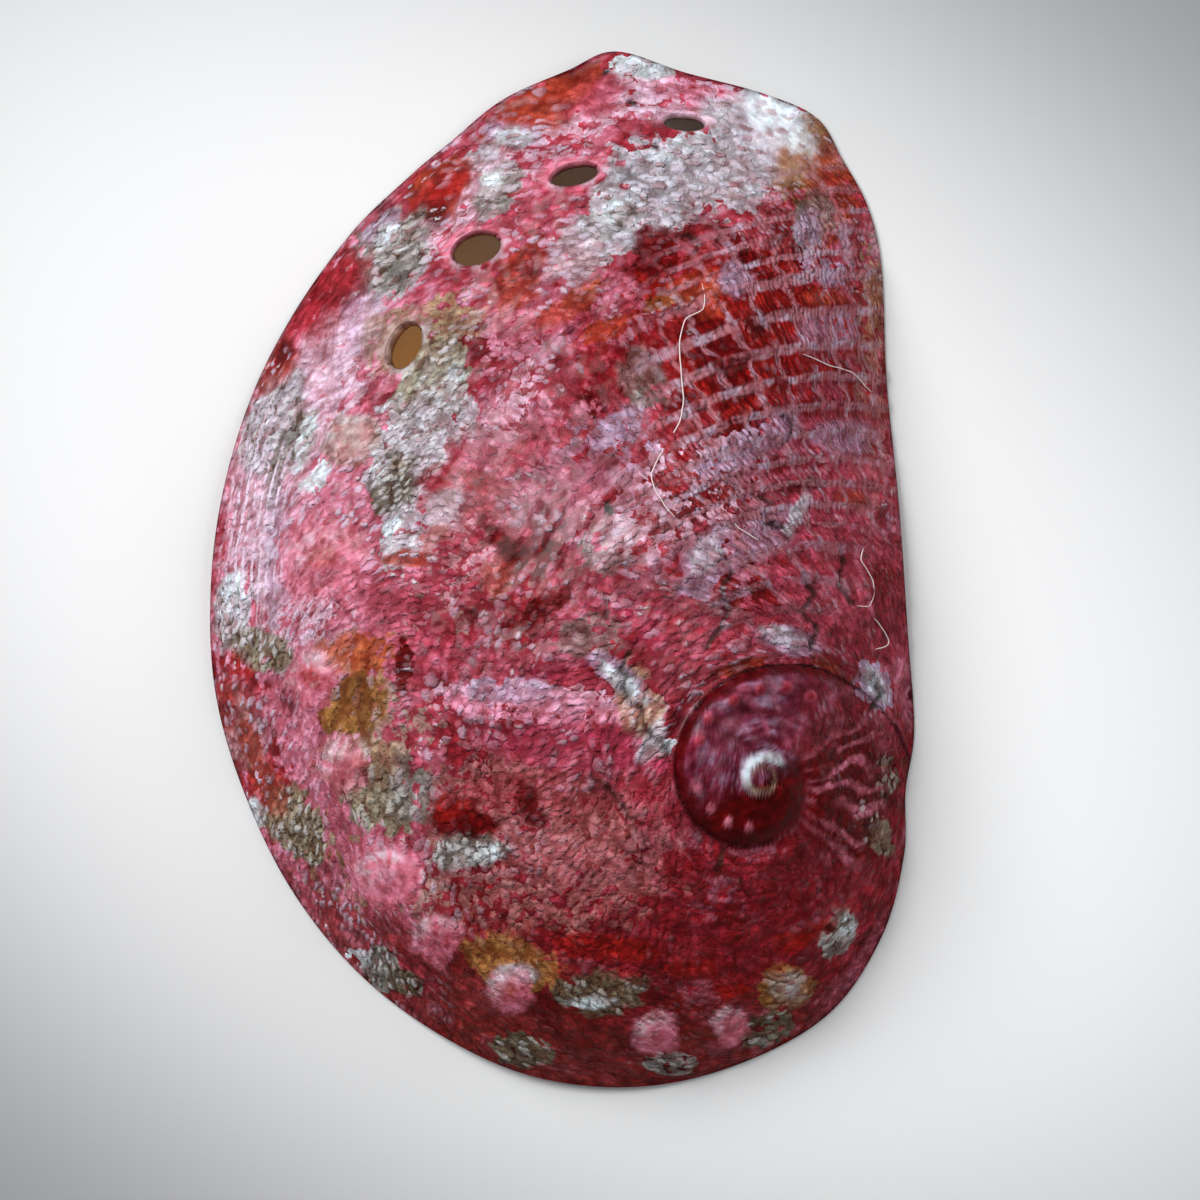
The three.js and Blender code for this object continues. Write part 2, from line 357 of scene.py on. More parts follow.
def oval_point(oval, angle):
    cx, cy, tilt, half_length, half_width = oval
    c, s = math.cos(math.radians(tilt)), math.sin(math.radians(tilt))
    u, v = half_length * np.cos(angle), half_width * np.sin(angle)
    return cx + u * c - v * s, cy + u * s + v * c


def opened(x, y, quads, ovals):
    """Cuts ovals out of a grid seen from above: moves the edges onto the ovals, in place, and
    returns the quads left and each oval's edge, anticlockwise."""
    keep = np.ones(len(quads), bool)
    loops = []
    for oval in ovals:
        ratio, _ = oval_radius(x, y, oval)
        gone = (ratio[quads] < 1).any(axis=1) & keep
        keep &= ~gone
        follow = {}
        for quad in quads[gone]:
            for a, b in zip(quad, np.roll(quad, -1)):
                follow[int(a)] = follow.get(int(a), []) + [int(b)]
        pairs = {(a, b) for a, ends in follow.items() for b in ends}
        edge = {a: b for a, b in pairs if (b, a) not in pairs}
        start = min(edge)
        loop = [start]
        while edge[loop[-1]] != start:
            loop.append(edge[loop[-1]])
        loop = np.array(loop)
        _, angle = oval_radius(x[loop], y[loop], oval)
        x[loop], y[loop] = oval_point(oval, angle)
        loops.append(loop)
    return quads[keep], loops


# ---- colours


def tone(red, green, blue):
    """A colour given as 0 to 255 display values, made linear."""
    c = np.array([red, green, blue]) / 255
    return np.where(c <= 0.04045, c / 12.92, ((c + 0.055) / 1.055) ** 2.4)


TONES = {name: tone(*levels) for name, levels in {
    "rose": (186, 78, 98), "blush": (214, 128, 152), "crimson": (164, 44, 56), "magenta": (172, 62, 88),
    "pink": (220, 142, 168), "knob pink": (222, 124, 146), "clay": (190, 158, 152),
    "lavender": (190, 156, 184), "dusk": (112, 40, 62), "deep": (124, 22, 28), "dark red": (112, 12, 14),
    "red": (162, 34, 30), "russet": (136, 48, 38), "rust": (132, 44, 20), "brick": (170, 66, 48),
    "orange": (188, 98, 66), "ochre": (158, 108, 62), "khaki": (160, 146, 126), "olive": (120, 106, 86),
    "grey": (156, 148, 144), "tan": (180, 146, 120), "pale": (206, 194, 206), "milk": (232, 190, 212),
    "white": (224, 228, 238), "soot": (58, 46, 38), "hole brown": (104, 80, 46),
}.items()}

# Patches of colour, first to last: (tone, x, y, half length, half width, tilt, strength),
# then the crust where there is one: up to 1, a thick pitted growth.
PATCHES = [
    # the broad fields
    ("crimson", -9, -5.2, 3.2, 1, -72, 0.6), ("rose", -8.6, 3.6, 6, 1.2, 70, 0.6),
    ("crimson", 3, -9.5, 6.5, 2.6, 5, 0.45), ("magenta", 1.2, -1.2, 3.6, 1.8, 25, 0.45),
    ("pink", -2, 2.2, 3, 2.2, 60, 0.35), ("crimson", 7.6, 2.5, 5, 1.6, 88, 0.3),
    ("milk", -7, 5.2, 3.6, 1.1, 68, 0.8), ("milk", -8, 1.4, 3.2, 0.8, 85, 0.85),
    ("milk", -3.2, 10.4, 2.2, 0.9, 40, 0.65), ("milk", 1.4, 13.5, 1.9, 0.7, 10, 0.7),
    ("milk", -1.9, 3.8, 2.2, 0.5, 60, 0.5), ("milk", -0.3, -3.6, 3.2, 0.4, -4, 0.5),
    ("magenta", -3, 2.6, 1.6, 1, 70, 0.4), ("milk", -8.9, 2.4, 2.6, 0.8, 80, 0.6),
    ("pale", -4.7, 8.7, 1.5, 0.9, 55, 0.35), ("tan", -6.6, -8.2, 2.2, 1.2, -52, 0.3),
    ("clay", -4.2, -9.2, 1.4, 0.7, -40, 0.3), ("milk", -7.2, 0, 1.8, 1.1, 85, 0.45),
    ("milk", -7, -2.2, 1.4, 1, 70, 0.3), ("pink", -9.2, -4.4, 1.4, 0.7, -72, 0.4),
    ("clay", -4.6, -4.4, 1.2, 1.1, 0, 0.45), ("milk", -0.8, 11.9, 2.2, 0.9, 25, 0.45),
    ("milk", -2.2, 9.9, 1.4, 0.8, 40, 0.3), ("dusk", -0.1, 7.2, 1.7, 1.1, 40, 0.25),
    ("crimson", -0.8, 2.6, 2.8, 1.5, -10, 0.4), ("dark red", 1.6, 4.9, 1.5, 1, 20, 0.3),
    ("pink", 4.6, 0.3, 1.2, 1.2, 0, 0.35), ("rose", 5.2, -1.9, 2.6, 0.9, 10, 0.45),
    ("rose", 0, -7, 3.6, 2.4, 0, 0.5), ("clay", -1, -7.6, 3.8, 2.6, -10, 0.26),
    ("clay", -2.4, 0, 3, 2.6, 0, 0.16),
    # the front lip
    ("brick", -0.6, 13.3, 1.9, 0.75, 27, 0.9), ("rose", 0.9, 13.6, 0.9, 0.6, 20, 0.8),
    ("white", 2.3, 14.5, 0.9, 0.35, -8, 0.9, 0.3), ("pink", 4.1, 13.7, 1.5, 0.45, -12, 0.7),
    ("pale", 5.9, 12.7, 1.9, 1.1, -28, 0.95, 0.1), ("white", 6.3, 13.2, 1.1, 0.4, -28, 0.7, 0.1),
    ("pale", 5, 11.5, 1.9, 1.1, 10, 0.85, 0.15), ("ochre", 6.9, 11.7, 1.2, 0.7, 70, 0.85, 0.2),
    ("ochre", 7.6, 12.3, 1, 0.5, -45, 0.75, 0.2), ("brick", 7.8, 10.9, 1.5, 0.8, 80, 0.75, 0.1),
    ("grey", 7.3, 10.2, 0.6, 0.6, 0, 0.6, 0.3), ("lavender", -1.5, 12.6, 0.8, 0.35, -12, 0.95, 0.1),
    ("pale", -2.4, 11.9, 0.6, 0.35, 30, 0.7, 0.3), ("brick", -3.6, 10.9, 1.2, 0.75, 40, 0.95),
    ("red", -3.9, 10.6, 0.7, 0.4, 40, 0.7), ("grey", -1.8, 10.9, 0.9, 0.55, 60, 0.75, 0.4),
    ("grey", -4.9, 9.2, 1.3, 1, 60, 0.9, 0.6), ("lavender", -5.2, 9.9, 0.7, 0.4, 40, 0.7, 0.3),
    ("crimson", -6.7, 7.9, 1.5, 0.8, 52, 0.8), ("lavender", -5.6, 7, 0.7, 0.9, 20, 0.5, 0.1),
    # the pale band inside the row of holes
    ("pale", 3.6, 11.6, 2.2, 0.95, 5, 0.85, 0.15), ("pale", 2.3, 10.3, 1.8, 1.1, 20, 0.85, 0.2),
    ("pale", 0.7, 9.2, 1.5, 0.8, 45, 0.8, 0.2), ("grey", 1.4, 9.9, 0.8, 0.35, 30, 0.6, 0.4),
    ("rose", -0.2, 10.4, 1, 0.6, 30, 0.7), ("brick", -1.3, 8.3, 1.5, 0.55, 60, 0.75),
    ("pink", -1, 7, 1.6, 1.2, 60, 0.6), ("tan", -3.2, 7, 1.2, 0.9, 50, 0.6, 0.3),
    ("khaki", -3.7, 5.4, 1.3, 1, 60, 0.9, 0.5), ("pale", -3.4, 4.4, 1, 0.9, 60, 0.7, 0.3),
    ("tan", -5, 6.6, 0.9, 0.7, 60, 0.55), ("pale", -4.4, 3.4, 1.5, 1.1, 70, 0.85, 0.4),
    ("olive", -4.8, 2.3, 0.95, 0.6, 75, 0.85, 0.6), ("pale", -4.6, 0.8, 1, 0.6, 80, 0.75, 0.3),
    ("pale", -3.4, 1.6, 0.8, 0.5, 60, 0.5, 0.2),
    # the left side
    ("pale", -8.3, 4.2, 1.6, 0.8, 70, 0.9, 0.6), ("grey", -7.8, 3, 1.7, 0.55, 75, 0.8, 0.6),
    ("brick", -8.3, 5.8, 0.9, 0.5, 50, 0.7), ("pink", -7.6, 1.2, 2.2, 0.55, 86, 0.7),
    ("lavender", -8.2, 0.4, 2, 0.3, 88, 0.55), ("pale", -9.5, -1.3, 1.1, 0.55, 84, 0.95, 0.5),
    ("khaki", -8.7, -2.3, 1, 0.55, -20, 0.85, 0.8), ("red", -9.3, -3.4, 1.2, 0.5, -75, 0.6),
    ("orange", -5.9, -2.4, 1.2, 0.6, 10, 0.8), ("ochre", -5.9, -3.9, 1, 0.85, 60, 0.95, 0.1),
    ("tan", -5.6, -5.6, 1.4, 0.8, -10, 0.75, 0.3), ("khaki", -5.2, -6.6, 1.2, 0.9, -40, 0.85, 0.5),
    ("grey", -4.3, -6.3, 0.6, 1, 0, 0.6, 0.3), ("dark red", -2.7, -7.2, 0.95, 0.55, 0, 0.95),
    ("grey", -2.7, -8, 1, 0.5, 5, 0.85, 0.6), ("khaki", -7.7, -7.3, 1.1, 0.8, -55, 0.9, 0.8),
    ("brick", -8.5, -6.2, 0.9, 0.5, -60, 0.7), ("grey", -5.2, -11.5, 0.7, 0.55, -40, 0.85, 0.7),
    ("olive", -4.5, -11.9, 0.6, 0.4, -35, 0.7, 0.7),
    # below
    ("ochre", -1.4, -11.3, 1.5, 0.75, -22, 0.85, 0.2), ("pale", -1.3, -11.6, 0.6, 0.35, 0, 0.7, 0.1),
    ("olive", 1, -12.1, 1.4, 0.6, 0, 0.8, 0.5), ("red", 1.3, -10.8, 1.5, 0.4, -4, 0.8),
    ("olive", -1.1, -13.9, 0.9, 0.5, -12, 0.8, 0.6), ("grey", 3.1, -14.2, 0.8, 0.4, 5, 0.7, 0.6),
    ("red", 5, -12, 0.6, 0.35, 0, 0.6), ("ochre", 6.4, -12, 0.85, 0.6, 10, 0.8, 0.4),
    ("red", 6.6, -10.6, 0.6, 0.35, 20, 0.7), ("grey", 7.9, -10.5, 0.75, 0.5, 70, 0.8, 0.7),
    ("olive", 5.9, -13.3, 0.8, 0.5, 25, 0.7, 0.7),
    # the middle
    ("lavender", 0.6, 2.6, 2.4, 1.2, 40, 0.4), ("grey", 1.3, 0.7, 1.1, 0.8, 20, 0.45),
    ("dark red", -0.9, 0.7, 1.3, 0.35, 50, 0.75), ("dark red", -0.4, -1.1, 0.9, 0.3, 40, 0.7),
    ("brick", -1.7, -0.2, 0.7, 0.5, 60, 0.5), ("grey", 0.8, -1.9, 0.9, 0.6, 0, 0.4),
    ("pink", -0.7, -3.9, 3, 0.5, -4, 0.7), ("lavender", -1.5, -3.4, 1.3, 0.35, 0, 0.6, 0.1),
    ("magenta", 0.4, -5, 2.7, 0.7, -4, 0.75), ("crimson", 0, -6.3, 2.8, 0.6, 0, 0.4),
    ("tan", 2.2, -3.8, 1.2, 0.6, -65, 0.7, 0.1), ("lavender", 1.6, -3, 1, 0.35, -35, 0.8, 0.2),
    ("pale", 2.6, -4.8, 0.7, 0.3, 60, 0.75, 0.2),
    # the upper right lattice
    ("red", 5, 6.8, 3, 2.2, -10, 0.75), ("dark red", 4.5, 6.2, 1.4, 0.8, -60, 0.85),
    ("dark red", 2.7, 8.9, 0.7, 0.5, 0, 0.85), ("orange", 3.9, 8, 0.9, 0.4, 15, 0.6),
    ("lavender", 5, 8.3, 0.5, 0.5, 0, 0.8, 0.1), ("crimson", 1.8, 6.2, 1.6, 1, 30, 0.6),
    ("grey", 2.3, 5.4, 0.6, 0.9, 20, 0.55, 0.1), ("lavender", 7.7, 6.9, 1, 0.5, 10, 0.5, 0.1),
    ("lavender", 7.6, 8.6, 0.9, 0.35, -15, 0.7, 0.1), ("pale", 7, 9.6, 0.5, 0.5, 0, 0.6, 0.2),
    ("brick", 9.1, 7.2, 1.6, 0.4, 88, 0.5), ("tan", 9, 8.2, 1.8, 0.5, 88, 0.4),
    ("clay", 8.8, 3.6, 2.6, 0.5, 90, 0.35), ("brick", 8.7, 4.6, 0.9, 0.4, 10, 0.6),
    # the right side
    ("milk", 3.6, 2.2, 3.2, 1.4, 25, 0.4), ("rose", 7.3, 1.6, 3.6, 1.9, 86, 0.75),
    ("crimson", -0.6, 8, 1.9, 1.3, 30, 0.35), ("crimson", -0.2, 2, 2.4, 1.2, 20, 0.35),
    ("dark red", 1.6, 6, 1.2, 1, 0, 0.3), ("clay", -9.3, -4.6, 1.2, 0.6, -72, 0.4),
    ("lavender", 5.4, 3.6, 1.8, 0.45, 28, 0.65), ("lavender", 8, 3.8, 0.9, 0.5, 0, 0.6, 0.1),
    ("lavender", 4.1, 0.1, 0.6, 1, -25, 0.75, 0.1), ("lavender", 5.9, 1, 1.2, 0.5, 35, 0.6),
    ("lavender", 6.5, -2, 0.8, 0.4, -20, 0.75, 0.2), ("lavender", 9, -3.3, 0.5, 0.8, 25, 0.8, 0.2),
    ("rust", 5.1, -2.75, 0.8, 0.2, 15, 0.9), ("rust", 7.7, -2.9, 0.7, 0.25, -35, 0.8),
    ("olive", 9.3, -6, 0.4, 0.7, 0, 0.7, 0.5), ("khaki", 8.9, -7.4, 0.9, 0.42, -60, 0.9, 0.5),
]

# Small sharp-edged accents over the patches: (tone, x, y, half length, half width, tilt, strength).
ACCENTS = [
    ("dark red", -1.67, 0.75, 0.8, 0.26, -52, 0.95), ("dark red", -0.5, 0.3, 0.65, 0.2, 62, 0.85),
    ("dark red", -0.9, -1.3, 0.55, 0.24, 55, 0.9), ("dark red", -4.5, -2.75, 0.75, 0.26, 88, 0.9),
    ("red", -3.1, -6.9, 0.5, 0.5, 20, 0.8), ("dark red", -2.7, -7.3, 0.7, 0.3, 0, 0.9),
    ("dark red", -0.9, -6.7, 0.8, 0.32, -58, 0.85), ("crimson", -3.5, 2.6, 0.5, 0.35, 10, 0.8),
    ("crimson", -2.4, 2.5, 0.45, 0.3, -40, 0.8), ("brick", -4.3, 0.3, 0.7, 0.25, 5, 0.85),
    ("brick", -3.6, 0.9, 0.5, 0.25, 30, 0.6), ("dark red", 4.1, 6.6, 0.55, 0.5, 0, 0.9),
    ("dark red", 4.5, 5.6, 0.6, 0.32, -10, 0.95), ("brick", 4.3, 7.4, 0.5, 0.25, 0, 0.8),
    ("dark red", 2.75, 9.4, 0.6, 0.42, -10, 0.95), ("brick", 3.7, 8.2, 0.8, 0.26, 18, 0.85),
    ("dark red", 5.1, 9.1, 0.95, 0.3, -52, 0.85), ("dark red", 6.4, 7.3, 0.55, 0.24, 0, 0.85),
    ("dark red", 5.6, 7, 0.5, 0.24, 5, 0.8), ("brick", 7.5, 7.8, 0.6, 0.25, 0, 0.8),
    ("brick", 1.2, 6.8, 0.9, 0.35, 25, 0.75), ("brick", 0, 7.3, 1, 0.35, 22, 0.8),
    ("brick", -1.2, 7.9, 0.7, 0.4, 40, 0.85), ("orange", 0.6, 7.9, 0.6, 0.22, 25, 0.6),
    ("ochre", 2.9, 7.6, 0.5, 0.24, 20, 0.6), ("brick", -9, -5, 0.7, 0.35, -70, 0.8),
    ("red", 3.7, -11.4, 0.8, 0.25, 0, 0.8), ("red", 7.2, -10.4, 0.7, 0.25, 25, 0.85),
    ("red", 1.2, -10.7, 1.4, 0.28, -6, 0.85), ("crimson", 6.3, 3, 0.7, 0.25, 20, 0.8),
    ("dark red", 6.9, 2.4, 0.6, 0.22, 10, 0.8), ("red", 4.9, 4.3, 0.6, 0.25, 15, 0.75),
    ("brick", 8.3, 2, 0.5, 0.3, 0, 0.7), ("crimson", -6.7, 8.2, 0.9, 0.5, 50, 0.9),
    ("dark red", -8.1, 6.2, 0.5, 0.26, 55, 0.9), ("red", -3.4, 11, 0.8, 0.4, 35, 0.9),
    ("dark red", -3.6, 10.2, 0.35, 0.3, 50, 0.85), ("brick", -0.4, 13.5, 1.6, 0.4, 27, 0.7),
    ("red", -9.7, -3.9, 0.8, 0.3, -80, 0.8), ("dark red", 1.3, 3, 0.3, 0.2, 0, 0.7),
    ("white", -3, 5.6, 0.25, 0.2, 0, 0.8), ("white", -4.8, 1.2, 0.3, 0.2, 40, 0.9),
    ("white", -5.2, 2.7, 0.25, 0.3, 0, 0.9), ("white", -7.4, 3.6, 0.9, 0.26, 70, 0.85),
    ("white", -7, 2.6, 0.6, 0.3, 60, 0.8), ("white", -9.4, -0.6, 0.5, 0.35, 80, 0.9),
    ("white", -5, 9.7, 0.5, 0.3, 40, 0.8), ("white", -1.4, 12.5, 0.6, 0.25, -10, 0.85),
    ("white", -2, 11.3, 0.35, 0.3, 0, 0.75), ("white", 2.4, 14.55, 0.8, 0.25, -10, 0.9),
    ("white", 6.3, 12.9, 1.3, 0.5, -40, 0.7), ("white", 3.3, 12.1, 0.9, 0.3, 30, 0.6),
    ("white", 1.4, 10.2, 0.7, 0.3, 35, 0.7), ("lavender", 5, 8.4, 0.4, 0.4, 0, 0.85),
    ("lavender", 1.6, 4, 0.9, 0.35, 35, 0.7), ("lavender", 7.1, 9.8, 0.4, 0.5, 0, 0.8),
    ("pale", 4.1, 0.4, 0.4, 0.6, -30, 0.6), ("white", 6.7, 1.6, 0.2, 0.6, -22, 0.6),
    ("pale", 6.3, -1.9, 0.6, 0.25, -20, 0.65), ("white", 9, -3.3, 0.25, 0.55, 30, 0.6),
    ("white", 1.7, -3.2, 0.7, 0.25, -42, 0.85), ("white", 3, -5, 0.3, 0.16, 50, 0.85),
    ("white", -2.2, -8.1, 0.5, 0.3, 10, 0.7), ("white", 0.8, -12.4, 0.6, 0.18, 5, 0.7),
    ("white", -1.4, -11.7, 0.5, 0.25, 0, 0.8), ("white", -9, -7, 0.45, 0.35, -60, 0.8),
    ("white", -5.9, -11.2, 0.35, 0.25, -40, 0.7), ("white", 8.2, -10.3, 0.25, 0.4, 0, 0.8),
]

PITS = [(2.0, 13.5, 0.14), (1.25, 14.35, 0.12), (2.7, 12.1, 0.1), (1.35, 1.7, 0.2), (6.3, 4.4, 0.12)]

CRACKS = [
    [(1.75, -3.2), (1.85, -3.7), (2.3, -4.0), (2.4, -4.6), (2.8, -4.9), (3.0, -5.2)],
    [(1.0, -0.6), (1.3, -0.9), (1.25, -1.4)],
    [(2.0, -2.3), (1.6, -2.9), (2.1, -3.1)],
    [(4.6, 0.4), (4.9, -0.1), (4.5, -0.6), (4.8, -1.2), (4.4, -1.8), (4.1, -2.2)],
    [(6.9, -0.2), (7.2, -0.7), (6.8, -1.2), (7.3, -1.7), (7.1, -2.3)],
    [(5.4, 2.2), (5.9, 1.9), (5.8, 1.4), (6.3, 1.2)],
    [(7.9, 0.9), (8.2, 0.3), (7.9, -0.4), (8.3, -1.0)],
    [(3.4, 9.6), (3.9, 9.4), (3.8, 9.0)],
    [(6.2, 4.6), (6.6, 4.1), (6.4, 3.7)],
    [(8.9, -3.0), (9.2, -3.6), (8.9, -4.0)],
    [(0.9, -5.9), (1.5, -6.4), (2.0, -7.1)],
    [(4.6, -7.9), (4.4, -8.6), (5.1, -8.9)],
]


def near_line(x, y, line):
    """Distance to a jagged line."""
    best = np.full(x.shape, 1e9)
    for (ax, ay), (bx, by) in zip(line, line[1:]):
        dx, dy = bx - ax, by - ay
        t = np.clip(((x - ax) * dx + (y - ay) * dy) / (dx * dx + dy * dy), 0, 1)
        best = np.minimum(best, np.hypot(x - ax - t * dx, y - ay - t * dy))
    return best


def gradients(x, y, hx, hy):
    """How fast spiral and grown change along the surface, per millimetre."""
    turn, spiral, _ = growth(x, y)
    r, a = round_apex(x, y)
    r, a = np.maximum(r, 0.04), np.radians(a)
    per_degree = 1 / (r * math.radians(1))
    row_slope = np.interp(turn, ROW_TURNS, np.gradient(ROW_LOGS, ROW_TURNS))
    lip_slope = np.interp(spiral, LIP_SPIRALS, np.gradient(LIP_TURNS, LIP_SPIRALS))
    out = np.cos(a), -np.sin(a)
    on = -np.sin(a), -np.cos(a)
    s = [out[k] / r - on[k] * row_slope * per_degree for k in (0, 1)]
    g = [on[k] * per_degree - lip_slope * s[k] for k in (0, 1)]
    lean = 1 + hx * hx + hy * hy
    return [np.sqrt(v[0] ** 2 + v[1] ** 2 - (v[0] * hx + v[1] * hy) ** 2 / lean) for v in (s, g)]


def blended(value, level, shape):
    """A repeating shape at the two nearest halvings of its coordinate, blended."""
    k = np.floor(level)
    share = smooth(level - k)
    return (1 - share) * shape(value * 2**k) + share * shape(value * 2 ** (k + 1))


def level_of(slope, period):
    """Halvings of a coordinate's unit that make it repeat about every period millimetres."""
    return -np.log2(period * slope)


def mix(colour, other, share):
    """Colours moved by their shares towards other colours, or towards a tone given by name."""
    other = TONES[other] if isinstance(other, str) else other
    return colour + (other - colour) * share[:, None]


def ridge(v):
    return 0.5 + 0.5 * np.cos(2 * math.pi * v)


def disc_share(x, y):
    """1 on the spire's disc, inside the suture, to 0 outside it."""
    r, a = round_apex(x, y)
    disc = smooth((suture_radius(a) - r) / 0.16 + 0.5) * smooth((330 - a) / 45)
    return np.maximum(disc, smooth((1.35 - r) / 0.25))


HOOK_X, HOOK_Y = APEX_X + 0.05, APEX_Y + 0.18


def spire_colour(x, y, colour):
    """The spire's disc: dark red below, dusky above, a white hook at the tip and pale knobs."""
    r, a = round_apex(x, y)
    upper = smooth((-np.sin(np.radians(a + 20)) + 0.3) / 0.9)
    # The whorl just outside the disc, crossed by pale rays on the right.
    span = smooth((r - 1.2) / 0.4) * smooth((4.2 - r) / 1.0) * smooth((52 - np.abs(wrap(a - 8))) / 26)
    rays = ridge((a - 2 + 9 * noise(x * 0.9, y * 0.9, 5)) / 13)
    rays = smooth((rays - 0.5 + 0.5 * noise(x * 2, y * 2, 7)) / 0.35)
    colour = mix(colour, TONES["dark red"] * 0.85, 0.95 * span)
    worn = smooth(0.8 + noise(x * 1.4, y * 1.4, 9))
    colour = mix(colour, TONES["knob pink"] * 0.8, 0.85 * span * rays * worn)

    disc = disc_share(x, y)
    arcs = fractal(a / 22, np.log(np.maximum(r, 0.05)) * 6, 71)
    spokes = smooth((ridge((a + 40 * np.log(np.maximum(r, 0.3)) + 8 * noise(x, y, 6)) / 21) - 0.55) / 0.4)
    shade = mix(np.tile(TONES["dark red"] * 0.62, (len(x), 1)), "dusk", upper)
    shade = mix(shade, TONES["lavender"] * 0.8, 0.6 * upper * smooth(arcs * 1.8 + 0.1))
    shade = mix(shade, TONES["knob pink"] * 0.6, 0.3 * upper * spokes * smooth((r - 0.9) / 0.5))
    shade = mix(shade, TONES["dark red"] * 0.5, 0.8 * smooth(-arcs * 2.4 - 0.1))
    colour = mix(colour, shade, disc)
    rim = smooth((0.2 - np.abs(r - suture_radius(a) + 0.12)) / 0.08) * smooth((330 - a) / 40)
    colour = mix(colour, TONES["dark red"] * 0.6, 0.92 * rim * smooth((a - 40) / 40))
    for turn, radius in SPIRE_KNOBS:
        d = from_row(x, y, turn, radius) / knob_size(turn)
        tone_here = TONES["knob pink"] * 0.8 if turn < 200 else TONES["rose"] * 0.8
        colour = mix(colour, tone_here, 0.85 * smooth((1.0 - d) / 0.45))
        colour = mix(colour, TONES["crimson"] * 0.8, 0.7 * smooth((0.6 - d) / 0.3) * (turn > 200))
    # The first whorls curl into a hook, white at the top.
    r, a = np.hypot(x - HOOK_X, y - HOOK_Y), np.degrees(np.arctan2(HOOK_Y - y, x - HOOK_X)) % 360
    turned = np.where(r > 0.25 + 0.0004 * a, a, a - 360)
    half = np.interp(turned, [-200, 0, 90, 200, 300, 335], [0.02, 0.05, 0.07, 0.15, 0.17, 0.06])
    from_hook = np.abs(r - 0.36 * np.exp(0.0019 * turned))
    hook = smooth((half - from_hook) / 0.1 + 0.5) * smooth((336 - turned) / 14) * (turned > -170)
    hook_tone = np.tile(TONES["tan"] * 0.7, (len(x), 1))
    hook_tone = mix(hook_tone, TONES["white"] * 0.75, smooth((turned - 110) / 90))
    hook_tone = mix(hook_tone, "lavender", 0.5 * smooth((r - 0.36 * np.exp(0.0019 * turned)) / 0.1))
    return colour + (hook_tone - colour) * (hook * (0.7 + 0.3 * smooth(turned / 80)))[:, None]


def depth_and_shade_share(x, y):
    """How deep and dark the ground colour is, rosy at the front left to dark red round the lower right:
    partly the shell's own colour, partly painted shade on the side away from the light.
    """
    middle = 0.5 * smooth((x + 4.8) / 2.2) * smooth((9.5 - y) / 3)
    low = 0.6 * smooth((0.5 * x - y - 2.5) / 11)
    return np.minimum(1, middle + low)


def lattice_share(x, y):
    """Where cords and growth ridges cross in a strong lattice: the front right of the shell."""
    return smooth(1.6 - oval_radius(x, y, (6.0, 5.2, 80, 5.8, 3.2))[0])


# Cords about CORD_GAP apart, the pace at which they are counted, growth ridges and the chips' rows.
CORD_GAP, CORD_PACE, RIDGE_GAP, CHIP_ROW, THREAD_GAP, CHIP_GAP = 0.8, 0.82, 1.15, 0.31, 0.2, 0.27


